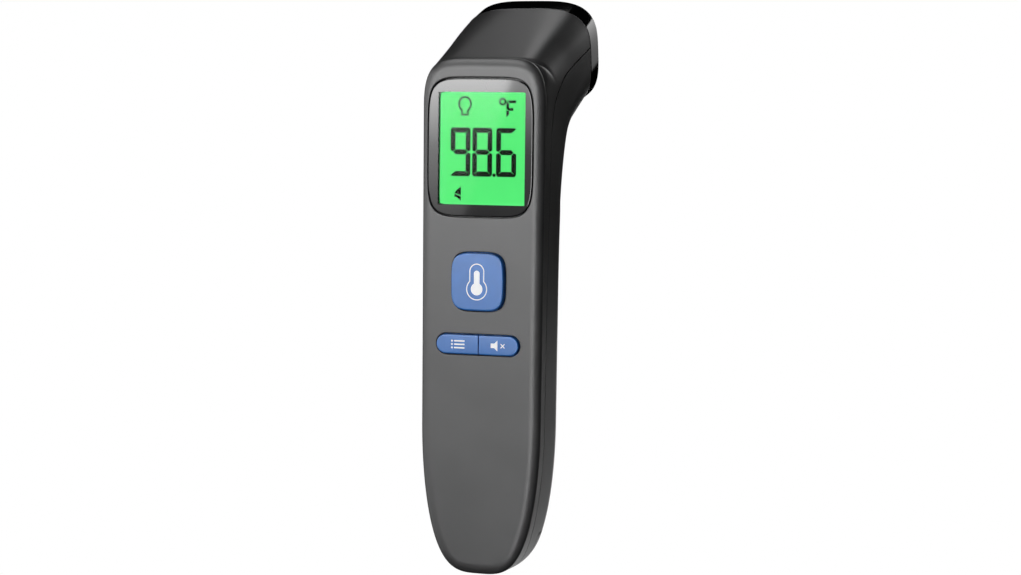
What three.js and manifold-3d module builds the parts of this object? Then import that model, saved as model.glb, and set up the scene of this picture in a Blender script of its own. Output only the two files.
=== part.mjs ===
// Non-contact infrared thermometer, stick type. Millimetres, +Z up the handle, display towards -Y.
// The origin is under the middle of the upright object's box.
import * as THREE from 'three';
import { LoftGeometry } from 'three/addons/geometries/LoftGeometry.js';
import { mergeVertices } from 'three/addons/utils/BufferGeometryUtils.js';
import Module from 'manifold-3d';

// ---------------------------------------------------------------- driving dimensions

const GAP = 0.3; // clearance between neighbouring pieces
const WALL = 1.8; // housing wall
const OUTSIDE = 60; // larger than the object, for cutters

const HALF_WIDTH = 18; // handle, at the top of the front plate
const TAPER = 0.0038; // half-width lost per millimetre down the handle
const THICKNESS = 20; // handle, front to back
const HANDLE = { endRise: 42, endPower: 3.4, backRise: 9, backPower: 2.2, straightTop: 104 };
const PLATE = {
  top: 143.9, shoulder: 129.9, widthPower: 5, risePower: 2.7,
  depth: 3, wall: 2,
  filletDepth: 2, filletReach: 3.2, // the front edge's rounding, back from the face and across it
};
const LEDGE = { low: 0.03, high: 0.75, from: 132, to: 143 }; // how far the plate stands out past the tube
const TUBE_FRONT = 2.3; // the tube starts this far behind the face, inside the plate

const NOSE = {
  y: 36.4, z: 144.2, tilt: THREE.MathUtils.degToRad(8), // centre and lean of the nose ring's plane
  halfWidth: 19.4, halfHeight: 14.4, power: 3.5,
  backLift: 1.16, backHalfWidth: 19.3, backHalfHeight: 14.9, length: 8.6, round: 1.5, barrelSlope: 0.34,
};

const SEAM = [ // (y, z) points of the joint between the housings
  [8.6, -4], [7.6, 3], [5.3, 18], [5.3, 60], [6.4, 108], [7.9, 126.5], [12.2, 135.6], [24.8, 143.3], [70, 160],
];

const FEATURE_X = -0.45; // window and keys, from the middle of the plate
const WINDOW = { z: 119, halfWidth: 15.4, halfHeight: 19.1, power: 5.6, thickness: 1.1 };
const VIEW = { z: 118.7, halfWidth: 12.9, halfHeight: 15.6 };
const LCD = { halfWidth: 13.6, halfHeight: 16.5, front: 3.7, thickness: 1.6 };
const BACKLIGHT = { halfWidth: 13.1, halfHeight: 15.6, front: 5.6, thickness: 1.6 };
const LCD_FRAME = { halfWidth: 15.1, halfHeight: 17.7, front: 3.6, back: 8.7 };

const MAIN_KEY = { z: 81.9, halfWidth: 7.7, halfHeight: 8, power: 4.2, proud: 1.4, crown: 0.6 };
const PILL = {
  z: 64.4, halfWidth: 12.1, halfHeight: 2.68, proud: 0.8, crown: 0.35, switchX: 6.2, switchRise: 1.6,
};
const KEY_FLANGE = { lip: 0.8, pillLip: 0.7, front: 2.3, back: 3.1, post: 1.7 };
const PLUNGER = { radius: 1.5, front: 4.3, back: 6.4 };
const SWITCH = { half: 3, front: 5.2, back: 8.7, bore: 1.9, boreDepth: 2.6 };

const BOARD = { front: 9, thickness: 1.2, halfWidth: 14.2, bottom: 62.4, top: 138 };
const SCREW = { headRadius: 2.1, headHeight: 1.5, shankRadius: 1.1, boss: 2.7, hole: 1.4, counterbore: 2.5 };
const UPPER_SCREW = { x: 11.2, z: 94.6, seat: 14, tip: 5, frontBossEnd: 10.6 };
const LOWER_SCREW = { z: 6, seat: 9.2, tip: 4.2 };

const BATTERY = { radius: 5.25, body: 43.5, nubRadius: 1.9, nub: 1, x: 5.65, y: 12.5 };
const BUZZER = { z: 76, radius: 4.6, height: 2.6, hole: 0.8, soundHole: 0.7, soundPitch: 3.2 };
const BAY = { halfWidth: 11.4, floor: 6.9, bottom: 9.9, top: 59.3, wall: 1.2 };
const COVER = { halfWidth: 13.6, front: 12.3, top: 60.5, wall: 1.6 };
const GRIP = { halfWidth: 6, height: 0.9, depth: 0.5, pitch: 2.2, first: 48, count: 5 };
const CONTACT = { inner: 1.8, outer: 9.6, front: 9, back: 16, thickness: 0.4 };
const SPRING = { base: 3.4, tip: 2, wire: 0.3, turns: 3 };

const COLORS = {
  shell: 0x4a4a4c, gloss: 0x060607, blue: 0x3f68b8, glass: 0x2a2a2c, lcd: 0x6df58a, board: 0x1f5a34,
  metal: 0xb8babd, black: 0x151516, foam: 0x222222, white: 0xf0f0ee, battery: 0x2f3338, brass: 0xb89a5a,
  rubber: 0x9a5f6a, steel: 0x2b2b2d, filter: 0x50545c,
};

// ---------------------------------------------------------------- solids

const wasm = await Module();
wasm.setup();

/** A closed three.js geometry as a manifold solid. */
function solid(geometry) {
  const bare = new THREE.BufferGeometry();
  bare.setAttribute('position', geometry.getAttribute('position'));
  bare.setIndex(geometry.index);
  const merged = mergeVertices(bare, 1e-4);
  const index = merged.index.array;
  const triangles = [];
  for (let i = 0; i < index.length; i += 3) {
    const [a, b, c] = [index[i], index[i + 1], index[i + 2]];
    if (a !== b && b !== c && c !== a) triangles.push(a, b, c);
  }
  return new wasm.Manifold(new wasm.Mesh({
    numProp: 3,
    vertProperties: Float32Array.from(merged.attributes.position.array),
    triVerts: Uint32Array.from(triangles),
  }));
}

/** A manifold solid as a three.js geometry. */
function geometryOf(body) {
  const mesh = body.getMesh();
  const geometry = new THREE.BufferGeometry();
  geometry.setAttribute('position', new THREE.BufferAttribute(Float32Array.from(mesh.vertProperties), 3));
  geometry.setIndex(new THREE.BufferAttribute(Uint32Array.from(mesh.triVerts), 1));
  const flat = geometry.toNonIndexed();
  flat.computeVertexNormals();
  return flat;
}

/** A box between two corners. */
function box(low, high) {
  const size = high.map((value, axis) => value - low[axis]);
  const middle = high.map((value, axis) => (value + low[axis]) / 2);
  return solid(new THREE.BoxGeometry(...size).translate(...middle));
}

/** A cylinder along Y from one depth to another. */
function rod(x, z, radius, from, to, sides = 20) {
  const cylinder = new THREE.CylinderGeometry(radius, radius, to - from, sides);
  return solid(cylinder.translate(x, (from + to) / 2, z));
}

/** An outline in the XZ plane, given as Vector2 (x, z), carried from one depth to another. */
function slab(outline, from, to) {
  const shape = new THREE.Shape(outline);
  const extruded = new THREE.ExtrudeGeometry(shape, { depth: to - from, bevelEnabled: false });
  return solid(extruded.rotateX(Math.PI / 2).translate(0, to, 0));
}

/** A superellipse in the XZ plane round (x0, z0): |x / a| ^ power + |z / b| ^ power = 1. */
function squircle(x0, z0, a, b, power, steps = 32) {
  return Array.from({ length: steps }, (_, i) => {
    const angle = (2 * Math.PI * (i + 0.5)) / steps;
    const across = Math.sign(Math.cos(angle)) * Math.abs(Math.cos(angle)) ** (2 / power);
    const up = Math.sign(Math.sin(angle)) * Math.abs(Math.sin(angle)) ** (2 / power);
    return new THREE.Vector2(x0 + a * across, z0 + b * up);
  });
}

/** A rectangle with half-round ends, in the XZ plane, from x = left to x = right. */
function capsule(z, left, right, radius, steps = 8) {
  const arc = (x, start) => Array.from({ length: steps + 1 }, (_, i) => {
    const angle = start + (Math.PI * i) / steps;
    return new THREE.Vector2(x + radius * Math.cos(angle), z + radius * Math.sin(angle));
  });
  return [...arc(right - radius, -Math.PI / 2), ...arc(left + radius, Math.PI / 2)];
}

/** A solid of revolution about +Y from (radius, y) pairs. */
function turned(profile, sides = 28) {
  return solid(new THREE.LatheGeometry(profile.map(([r, y]) => new THREE.Vector2(r, y)), sides));
}

// ---------------------------------------------------------------- the body's outer form

/** Half-width of the handle at a height, without the top corners: a straight taper with a round end. */
function handleHalfWidth(z) {
  const rise = Math.max(0, 1 - Math.min(z, HANDLE.endRise) / HANDLE.endRise);
  return (HALF_WIDTH - TAPER * (PLATE.top - z)) * (1 - rise ** 2) ** (1 / HANDLE.endPower);
}

/** Half-width of the front plate at a height, with its top corners. */
function plateHalfWidth(z) {
  const rise = Math.max(0, Math.min(1, (z - PLATE.shoulder) / (PLATE.top - PLATE.shoulder)));
  return handleHalfWidth(z) * (1 - rise ** PLATE.risePower) ** (1 / PLATE.widthPower);
}

/** Right half of the front plate's outline, bottom to top. */
function plateSide(steps = 11) {
  const angles = Array.from({ length: steps + 1 }, (_, i) => (Math.PI * i) / 2 / steps);
  const bottom = angles.map((angle) => HANDLE.endRise * (1 - Math.cos(angle)));
  const straight = [75, 105];
  const topRise = PLATE.top - PLATE.shoulder;
  const top = angles.map((angle) => PLATE.shoulder + topRise * Math.sin(angle) ** (2 / PLATE.risePower));
  return [...bottom, ...straight, ...top].map((z) => new THREE.Vector2(plateHalfWidth(z), z));
}

/** The front plate's closed outline, moved inwards along its normals. */
function plateOutline(inset) {
  const side = plateSide();
  const left = side.slice(1, -1).reverse().map((p) => new THREE.Vector2(-p.x, p.y));
  const ring = [...side, ...left];
  return ring.map((p, i) => {
    const before = ring[(i + ring.length - 1) % ring.length];
    const after = ring[(i + 1) % ring.length];
    const along = after.clone().sub(before).normalize();
    return new THREE.Vector2(p.x - along.y * inset, p.y + along.x * inset);
  });
}

/** The front plate: flat face at y = 0, rounded front edge, square back edge. */
function frontPlate() {
  const { filletDepth, filletReach, depth } = PLATE;
  const stations = [0, 22.5, 45, 67.5, 90].map((degrees) => {
    const angle = THREE.MathUtils.degToRad(degrees);
    return { y: filletDepth * (1 - Math.cos(angle)), inset: filletReach * (1 - Math.sin(angle)) };
  });
  stations.push({ y: depth, inset: 0 });
  const sections = stations.map(({ y, inset }) =>
    plateOutline(inset).map((p) => new THREE.Vector3(p.x, y, p.y)));
  return solid(new LoftGeometry(sections.map((s) => s.reverse()), { capStart: true, capEnd: true }));
}

/** Curves in the YZ plane that the head's sections run between, as Vector2 (y, z). */
function headCurves(front, inset) {
  const up = new THREE.Vector2(-Math.sin(NOSE.tilt), Math.cos(NOSE.tilt));
  const centre = new THREE.Vector2(NOSE.y, NOSE.z);
  const ringTop = centre.clone().addScaledVector(up, NOSE.halfHeight - inset);
  const ringBottom = centre.clone().addScaledVector(up, -(NOSE.halfHeight - inset));
  const over = new THREE.Path();
  over.moveTo(front, HANDLE.straightTop);
  over.lineTo(front, 138 - inset);
  over.bezierCurveTo(front, 141.6 - inset, front + 0.6, 142.6 - inset, 4.6 + inset, 143.9 - inset);
  over.lineTo(ringTop.x, ringTop.y);
  const under = new THREE.Path();
  under.moveTo(THICKNESS + 0.5 - inset, HANDLE.straightTop);
  under.bezierCurveTo(
    21.6 - inset, 111 + inset * 0.2, 22 - inset, 120 + inset * 0.6, 28 - inset * 0.5, 124.4 + inset);
  under.lineTo(ringBottom.x, ringBottom.y);
  return { over, under };
}

/** Where the tube's front and back lie at a station, with its half-width and corner sizes. */
function stations(front, inset) {
  const result = [];
  const backAt = (z) => {
    const rise = Math.max(0, 1 - z / HANDLE.backRise);
    const belly = HANDLE.backRise + (THICKNESS - HANDLE.backRise) * (1 - rise ** 2) ** (1 / HANDLE.backPower);
    const swell = THREE.MathUtils.smoothstep(z, 80, HANDLE.straightTop + 16) * 1.1;
    return belly + swell - inset;
  };
  const low = inset > 0 ? inset + 0.4 : 0.05;
  const start = Math.acos(1 - low / HANDLE.endRise);
  const tipHeights = [0, 10, 19, 28, 38, 48, 60, 75, 90].map((degrees) => {
    const angle = start + (Math.PI / 2 - start) * (degrees / 90);
    return HANDLE.endRise * (1 - Math.cos(angle));
  });
  for (const z of [...tipHeights, 62, 82, 96]) {
    const halfWidth = handleHalfWidth(z) - LEDGE.low - inset;
    result.push({ front: [front, z], back: [backAt(z), z], halfWidth, t: 0 });
  }
  const { over, under } = headCurves(front, inset);
  const steps = 17;
  for (let i = 0; i <= steps; i += 1) {
    const t = i / steps;
    const f = over.getPointAt(t);
    const b = under.getPointAt(t);
    const flare = THREE.MathUtils.smoothstep(t, 0.3, 1);
    const halfWidth = THREE.MathUtils.lerp(handleHalfWidth(Math.min(f.y, 130)), NOSE.halfWidth, flare);
    result.push({ front: [f.x, f.y], back: [b.x, b.y], halfWidth: halfWidth - LEDGE.low - inset, t });
  }
  return result;
}

/** Half the flat part of the tube's front: it follows the plate, then shrinks along the barrel. */
function frontFlat(station, inset) {
  const z = station.front[1] + inset;
  const grow = THREE.MathUtils.smoothstep(z, LEDGE.from, LEDGE.to);
  const ledge = THREE.MathUtils.lerp(LEDGE.low, LEDGE.high, grow);
  const plate = plateHalfWidth(Math.min(z + ledge, PLATE.top - 0.25)) - ledge - inset;
  const barrel = THREE.MathUtils.clamp((z - LEDGE.to) / 15, 0, 1) ** 1.6;
  return Math.min(station.halfWidth - 0.5, THREE.MathUtils.lerp(plate, 0.5, barrel));
}

/** One closed section of the tube: straight sides joined by four superelliptic corners. */
function section(station, inset) {
  const { front, back, halfWidth, t } = station;
  const depth = Math.hypot(back[0] - front[0], back[1] - front[1]);
  const along = [(back[0] - front[0]) / depth, (back[1] - front[1]) / depth];
  const grow = THREE.MathUtils.smoothstep(t, 0.25, 1);
  const half = depth / 2 - 0.25;
  const power = THREE.MathUtils.lerp(2.2, NOSE.power, grow);
  const frontRise = THREE.MathUtils.lerp(0.6, half, THREE.MathUtils.smoothstep(t, 0.2, 0.75));
  const corners = [
    { side: 1, end: 1, rx: Math.min(halfWidth - 0.3, THREE.MathUtils.lerp(7 - inset, halfWidth - 0.5, grow)),
      ry: Math.min(half, THREE.MathUtils.lerp(6 - inset, half, grow)) },
    { side: 1, end: -1, rx: halfWidth - frontFlat(station, inset), ry: Math.min(half, frontRise) },
  ];
  const steps = 6;
  const right = corners.flatMap(({ end, rx, ry }) => Array.from({ length: steps + 1 }, (_, i) => {
    const angle = (Math.PI / 2) * (end > 0 ? 1 - i / steps : i / steps);
    const x = halfWidth - rx + rx * Math.cos(angle) ** (2 / power);
    const reach = ry - ry * Math.sin(angle) ** (2 / power);
    return [x, end > 0 ? depth - reach : reach];
  }));
  const left = right.slice().reverse().map(([x, s]) => [-x, s]);
  return [...right, ...left].map(([x, s]) =>
    new THREE.Vector3(x, front[0] + along[0] * s, front[1] + along[1] * s));
}

/** The bent tube: up the handle, round the neck and back along the barrel, ending in the nose plane. */
function bentTube(front, inset, overrun = 0) {
  const places = stations(front, inset);
  const sections = places.map((station) => section(station, inset));
  if (overrun > 0) {
    const out = new THREE.Vector3(0, Math.cos(NOSE.tilt), Math.sin(NOSE.tilt)).multiplyScalar(overrun);
    sections.push(sections[sections.length - 1].map((p) => p.clone().add(out)));
  }
  return solid(new LoftGeometry(sections.map((s) => s.reverse()), { capStart: true, capEnd: true }));
}

/** Everything on the display side of the seam, which runs up the handle's sides and along the barrel. */
function seamCutter(shift) {
  const path = new THREE.SplineCurve(SEAM.map(([y, z]) => new THREE.Vector2(y + shift, z - shift)));
  const edge = path.getPoints(36);
  const beyond = [new THREE.Vector2(70, 200), new THREE.Vector2(-OUTSIDE, 200)];
  const shape = new THREE.Shape([new THREE.Vector2(-OUTSIDE, -10), ...edge, ...beyond]);
  const extruded = new THREE.ExtrudeGeometry(shape, { depth: 2 * OUTSIDE, bevelEnabled: false });
  const turn = new THREE.Matrix4().makeBasis(
    new THREE.Vector3(0, 1, 0), new THREE.Vector3(0, 0, 1), new THREE.Vector3(1, 0, 0));
  return solid(extruded.applyMatrix4(turn).translate(-OUTSIDE, 0, 0));
}

// ---------------------------------------------------------------- pieces

const group = new THREE.Group();

function material(color, roughness = 0.5, metalness = 0) {
  return new THREE.MeshStandardMaterial({ color, roughness, metalness });
}

function piece(name, body, finish, parent = group) {
  const mesh = new THREE.Mesh(geometryOf(body), finish);
  mesh.name = name;
  parent.add(mesh);
  return mesh;
}

const shellFinish = material(COLORS.shell, 0.45);
const outer = frontPlate().add(bentTube(TUBE_FRONT, 0));
const hollow = bentTube(PLATE.wall, WALL, 6);
const frontSide = seamCutter(0);
const rearSide = seamCutter(GAP);

/** The window's outline, grown by a margin, from one depth to another. */
function windowSlab(margin, from, to) {
  const { z, halfWidth, halfHeight, power } = WINDOW;
  return slab(squircle(FEATURE_X, z, halfWidth + margin, halfHeight + margin, power), from, to);
}

/** The main key's outline, grown by a margin. */
function keySlab(margin, from, to) {
  const { z, halfWidth, halfHeight, power } = MAIN_KEY;
  return slab(squircle(FEATURE_X, z, halfWidth + margin, halfHeight + margin, power), from, to);
}

/** The outline of the two small keys together, grown by a margin. */
function pillSlab(margin, from, to) {
  const reach = PILL.halfWidth + margin;
  return slab(capsule(PILL.z, FEATURE_X - reach, FEATURE_X + reach, PILL.halfHeight + margin), from, to);
}

/** The opening in front of the display, grown by a margin. */
function viewBlock(margin) {
  const [reach, rise] = [VIEW.halfWidth + margin, VIEW.halfHeight + margin];
  return box([FEATURE_X - reach, 0, VIEW.z - rise], [FEATURE_X + reach, 4, VIEW.z + rise]);
}

/** Front housing: plate, window seat, key openings and screw bosses. */
function frontHousing() {
  const seat = slab(
    squircle(FEATURE_X, WINDOW.z, WINDOW.halfWidth + 0.9, WINDOW.halfHeight + 0.9, 7), 1.9, 3.2);
  const bosses = [-1, 1].map((side) =>
    rod(side * UPPER_SCREW.x, UPPER_SCREW.z, SCREW.boss, 1.9, UPPER_SCREW.frontBossEnd)
      .subtract(rod(side * UPPER_SCREW.x, UPPER_SCREW.z, SCREW.hole, 4.2, UPPER_SCREW.frontBossEnd + 1, 12)));
  const foot = rod(0, LOWER_SCREW.z, SCREW.boss, 1.9, 6.2)
    .subtract(rod(0, LOWER_SCREW.z, SCREW.hole, 3.4, 8, 12));
  let body = outer.subtract(hollow).intersect(frontSide);
  body = body.add(seat).add(bosses[0]).add(bosses[1]).add(foot);
  const cuts = [
    windowSlab(GAP, -1, 1.9),
    viewBlock(0),
    keySlab(GAP, -1, 4),
    pillSlab(GAP, -1, 4),
  ];
  return cuts.reduce((rest, cut) => rest.subtract(cut), body);
}

/** Rear housing: neck and barrel underside, battery tray, screw seats and sound holes. */
function rearHousing() {
  const rear = outer.subtract(rearSide);
  const inCover = box(
    [-COVER.halfWidth - GAP, COVER.front - GAP, -5], [COVER.halfWidth + GAP, OUTSIDE, COVER.top + GAP]);
  const trayOutside = box(
    [-BAY.halfWidth - BAY.wall, BAY.floor - BAY.wall, BAY.bottom - BAY.wall],
    [BAY.halfWidth + BAY.wall, COVER.front - GAP, COVER.top + GAP + BAY.wall]);
  const ledge = box([-OUTSIDE, 10.6, -5], [OUTSIDE, COVER.front - GAP, COVER.top + GAP + BAY.wall]);
  const bulkhead = box([-15.2, 10.6, COVER.top + GAP], [15.2, THICKNESS - 1, COVER.top + GAP + BAY.wall]);
  const footBlock = rod(0, LOWER_SCREW.z, 5, 6.8, COVER.front - GAP, 16).subtract(rearSide);
  const bay = box([-BAY.halfWidth, BAY.floor, BAY.bottom], [BAY.halfWidth, OUTSIDE, BAY.top]);
  const filled = trayOutside.add(ledge).add(bulkhead).add(footBlock).intersect(outer).subtract(rearSide);
  let body = rear.subtract(hollow).add(filled).subtract(inCover).subtract(bay);
  for (const side of [-1, 1]) {
    const [x, z] = [side * UPPER_SCREW.x, UPPER_SCREW.z];
    const post = rod(x, z, SCREW.boss + 0.6, UPPER_SCREW.frontBossEnd + GAP, THICKNESS - 1);
    body = body.add(post)
      .subtract(rod(x, z, SCREW.counterbore, UPPER_SCREW.seat, OUTSIDE))
      .subtract(rod(x, z, SCREW.hole, 5, OUTSIDE, 12));
  }
  body = body.subtract(rod(0, LOWER_SCREW.z, SCREW.counterbore, LOWER_SCREW.seat, 14))
    .subtract(rod(0, LOWER_SCREW.z, SCREW.hole, 5, 14, 12));
  for (const x of [-BUZZER.soundPitch, 0, BUZZER.soundPitch]) {
    body = body.subtract(rod(x, BUZZER.z, BUZZER.soundHole, 12, OUTSIDE, 10));
  }
  return body;
}

/** Battery cover: the lower back of the handle, open at its top so that it slides down and off. */
function batteryCover() {
  const blank = outer.intersect(
    box([-COVER.halfWidth, COVER.front, -5], [COVER.halfWidth, OUTSIDE, COVER.top]));
  const inside = box(
    [-COVER.halfWidth + COVER.wall, COVER.front - 1, BAY.bottom],
    [COVER.halfWidth - COVER.wall, THICKNESS - COVER.wall, COVER.top + 1]);
  const grips = Array.from({ length: GRIP.count }, (_, i) => {
    const low = GRIP.first + i * GRIP.pitch;
    const floor = THICKNESS - GRIP.depth;
    return box([-GRIP.halfWidth, floor, low], [GRIP.halfWidth, THICKNESS + 2, low + GRIP.height]);
  });
  return grips.reduce((rest, grip) => rest.subtract(grip), blank.subtract(inside));
}

piece('front_housing', frontHousing(), shellFinish);
piece('rear_housing', rearHousing(), shellFinish);
piece('battery_cover', batteryCover(), shellFinish);

// display stack
const windowFinish = material(COLORS.glass, 0.08);
piece('display_window', windowSlab(0, 0.1, 0.1 + WINDOW.thickness), windowFinish);
piece('window_gasket', windowSlab(-GAP, 1.45, 1.7).subtract(viewBlock(0.4)), material(COLORS.foam, 0.9));

/** A rectangular block centred behind the display's opening. */
function displayBlock(halfWidth, halfHeight, from, to) {
  return box([-halfWidth, from, VIEW.z - halfHeight], [halfWidth, to, VIEW.z + halfHeight]);
}
const lcd = displayBlock(LCD.halfWidth, LCD.halfHeight, LCD.front, LCD.front + LCD.thickness);
piece('lcd_panel', lcd, material(COLORS.lcd, 0.3));
const backlightBack = BACKLIGHT.front + BACKLIGHT.thickness;
const backlight = displayBlock(BACKLIGHT.halfWidth, BACKLIGHT.halfHeight, BACKLIGHT.front, backlightBack);
piece('backlight_panel', backlight, material(COLORS.white, 0.6));
const stripBottom = VIEW.z - LCD.halfHeight + 0.5;
const strip = box([-11, 7.5, stripBottom], [11, LCD_FRAME.back, stripBottom + 1.8]);
piece('zebra_strip', strip, material(COLORS.rubber, 0.7));
const frameHoles = [
  displayBlock(LCD.halfWidth + GAP, LCD.halfHeight + GAP, LCD_FRAME.front - 1, backlightBack + GAP),
  displayBlock(LCD.halfWidth - 1.5, LCD.halfHeight - 4, LCD_FRAME.front - 1, LCD_FRAME.back + 1),
  box([-11.5, 5.4, stripBottom - 0.4], [11.5, 9, stripBottom + 2.2]),
];
const frameBlank = displayBlock(LCD_FRAME.halfWidth, LCD_FRAME.halfHeight, LCD_FRAME.front, LCD_FRAME.back);
const lcdFrame = frameHoles.reduce((rest, hole) => rest.subtract(hole), frameBlank);
piece('lcd_frame', lcdFrame, material(COLORS.white, 0.6));

// circuit board with its parts
const boardBack = BOARD.front + BOARD.thickness;
const notches = [-1, 1].map((side) =>
  rod(side * (UPPER_SCREW.x + 1), UPPER_SCREW.z, SCREW.boss + 1.2, 5, 12));
const board = box([-BOARD.halfWidth, BOARD.front, BOARD.bottom], [BOARD.halfWidth, boardBack, BOARD.top])
  .subtract(notches[0]).subtract(notches[1]);
piece('main_board', board, material(COLORS.board, 0.5));
const partsFront = boardBack + GAP;
piece('controller_chip', box([-5, partsFront, 104], [5, partsFront + 1.4, 114]), material(COLORS.black, 0.4));
piece('crystal', box([7, partsFront, 106], [10.2, partsFront + 1.2, 113]), material(COLORS.metal, 0.3, 0.9));
const buzzer = rod(0, BUZZER.z, BUZZER.radius, partsFront, partsFront + BUZZER.height, 24)
  .subtract(rod(0, BUZZER.z, BUZZER.hole, partsFront + 1.1, partsFront + 5, 10));
piece('buzzer', buzzer, material(COLORS.black, 0.5));

/** A key: its cap stands out of the face, a flange keeps it in, a post presses its switch's plunger. */
function key(cap, flange, postX, postZ) {
  const post = rod(postX, postZ, KEY_FLANGE.post, KEY_FLANGE.back - 0.2, PLUNGER.front - GAP, 16);
  return cap.add(flange).add(post);
}

/** A push switch: a square can with a bore, and the plunger that stands in the bore. */
function switchParts(name, x, z) {
  const { half, front, back, bore, boreDepth } = SWITCH;
  const can = box([x - half, front, z - half], [x + half, back, z + half])
    .subtract(rod(x, z, bore, front - 1, front + boreDepth, 16));
  piece(`${name}_switch`, can, material(COLORS.metal, 0.35, 0.8));
  const plunger = rod(x, z, PLUNGER.radius, PLUNGER.front, PLUNGER.back, 16);
  piece(`${name}_plunger`, plunger, material(COLORS.black, 0.6));
}

const blueFinish = material(COLORS.blue, 0.35);
const mainCap = keySlab(-MAIN_KEY.crown, -MAIN_KEY.proud, 0)
  .add(keySlab(0, MAIN_KEY.crown - MAIN_KEY.proud, KEY_FLANGE.back));
const mainFlange = keySlab(KEY_FLANGE.lip, KEY_FLANGE.front, KEY_FLANGE.back);
piece('measure_button', key(mainCap, mainFlange, 0, MAIN_KEY.z), blueFinish);
switchParts('measure', 0, MAIN_KEY.z);

const pillCap = pillSlab(-PILL.crown, -PILL.proud, 0)
  .add(pillSlab(0, PILL.crown - PILL.proud, KEY_FLANGE.back));
const pillFlange = pillSlab(KEY_FLANGE.pillLip, KEY_FLANGE.front, KEY_FLANGE.back);
for (const [name, side] of [['memory', -1], ['mute', 1]]) {
  const [near, far] = [FEATURE_X + (side * GAP) / 2, side * OUTSIDE];
  const half = box([Math.min(near, far), -10, 0], [Math.max(near, far), 10, 100]);
  const [postX, postZ] = [side * PILL.switchX, PILL.z + PILL.switchRise];
  piece(`${name}_button`, key(pillCap.intersect(half), pillFlange.intersect(half), postX, postZ), blueFinish);
  switchParts(name, postX, postZ);
}

/** A cell standing on z = base; the right-hand one is turned over. */
function cell(x, base, flip) {
  const { radius, body, nubRadius, nub } = BATTERY;
  const profile = [[0, 0], [radius - 0.5, 0], [radius, 0.5], [radius, body - 0.5], [radius - 0.5, body],
    [nubRadius, body], [nubRadius, body + nub], [0, body + nub]];
  const points = profile.map(([r, y]) => new THREE.Vector2(r, y));
  const upright = new THREE.LatheGeometry(points, 22).rotateX(Math.PI / 2);
  if (flip) upright.rotateX(Math.PI).translate(0, 0, body + nub);
  return solid(upright.translate(x, BATTERY.y, base));
}

/** A conical coil spring standing on z = base; a closed round section along a helix. */
function coil(x, base, height) {
  class Helix extends THREE.Curve {
    getPoint(t, target = new THREE.Vector3()) {
      const radius = THREE.MathUtils.lerp(SPRING.base, SPRING.tip, t);
      const angle = 2 * Math.PI * SPRING.turns * t;
      const z = base + SPRING.wire + (height - 2 * SPRING.wire) * t;
      return target.set(x + radius * Math.cos(angle), BATTERY.y + radius * Math.sin(angle), z);
    }
  }
  const wire = new THREE.Shape(Array.from({ length: 6 }, (_, i) =>
    new THREE.Vector2(SPRING.wire, 0).rotateAround(new THREE.Vector2(), (i * Math.PI) / 3)));
  return solid(new THREE.ExtrudeGeometry(wire, { extrudePath: new Helix(), steps: 36, bevelEnabled: false }));
}

const springFinish = material(COLORS.metal, 0.3, 0.9);
const cellFinish = material(COLORS.battery, 0.35);
const bridgeBottom = BAY.bottom + GAP;
const bridgeTop = bridgeBottom + CONTACT.thickness;
const contactTop = BAY.top - GAP;
const contactBottom = contactTop - CONTACT.thickness;
const cellLength = BATTERY.body + BATTERY.nub;
piece('battery_left', cell(-BATTERY.x, contactBottom - GAP - cellLength, false), cellFinish);
piece('battery_right', cell(BATTERY.x, bridgeTop + GAP, true), cellFinish);

/** A flat contact strip across the bay, from x = left to x = right. */
function contact(left, right, from, to) {
  return box([left, CONTACT.front, from], [right, CONTACT.back, to]);
}
const { inner, outer: reach } = CONTACT;
piece('battery_bridge', contact(-reach, reach, bridgeBottom, bridgeTop), springFinish);
const springHeight = contactBottom - bridgeTop - cellLength - 3 * GAP;
piece('battery_spring_left', coil(-BATTERY.x, bridgeTop + GAP, springHeight), springFinish);
piece('battery_spring_right', coil(BATTERY.x, contactBottom - GAP - springHeight, springHeight), springFinish);
piece('positive_contact', contact(-reach, -inner, contactBottom, contactTop), springFinish);
piece('negative_contact', contact(inner, reach, contactBottom, contactTop), springFinish);

/** A cross-head screw that enters from the back. */
function screw(x, z, seat, tip) {
  const { headRadius, headHeight, shankRadius } = SCREW;
  const top = seat + GAP + headHeight;
  const cross = box([x - 1.2, top - 0.8, z - 0.3], [x + 1.2, top + 1, z + 0.3])
    .add(box([x - 0.3, top - 0.8, z - 1.2], [x + 0.3, top + 1, z + 1.2]));
  const shank = rod(x, z, shankRadius, tip, seat + GAP + 0.5, 10);
  return rod(x, z, headRadius, seat + GAP, top, 18).add(shank).subtract(cross);
}
const screwFinish = material(COLORS.steel, 0.35, 0.8);
for (const [name, side] of [['left', -1], ['right', 1]]) {
  const body = screw(side * UPPER_SCREW.x, UPPER_SCREW.z, UPPER_SCREW.seat, UPPER_SCREW.tip);
  piece(`housing_screw_${name}`, body, screwFinish);
}
piece('housing_screw_bottom', screw(0, LOWER_SCREW.z, LOWER_SCREW.seat, LOWER_SCREW.tip), screwFinish);

// ---------------------------------------------------------------- nose, in its own frame: +Y out of it

const nose = new THREE.Group();
nose.position.set(0, NOSE.y, NOSE.z);
nose.rotation.x = NOSE.tilt;
group.add(nose);

/** A ring section of the nose at a depth: the outline rises and grows a little from front to back. */
function noseSection(y, inset) {
  const t = THREE.MathUtils.clamp(y / (NOSE.length - NOSE.round), 0, 1);
  const a = THREE.MathUtils.lerp(NOSE.halfWidth, NOSE.backHalfWidth, t) - inset;
  const b = THREE.MathUtils.lerp(NOSE.halfHeight, NOSE.backHalfHeight, t) - inset;
  const lift = y < 0 ? NOSE.barrelSlope * y : NOSE.backLift * t;
  return squircle(0, lift, a, b, NOSE.power, 44).map((p) => new THREE.Vector3(p.x, y, p.y));
}

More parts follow.
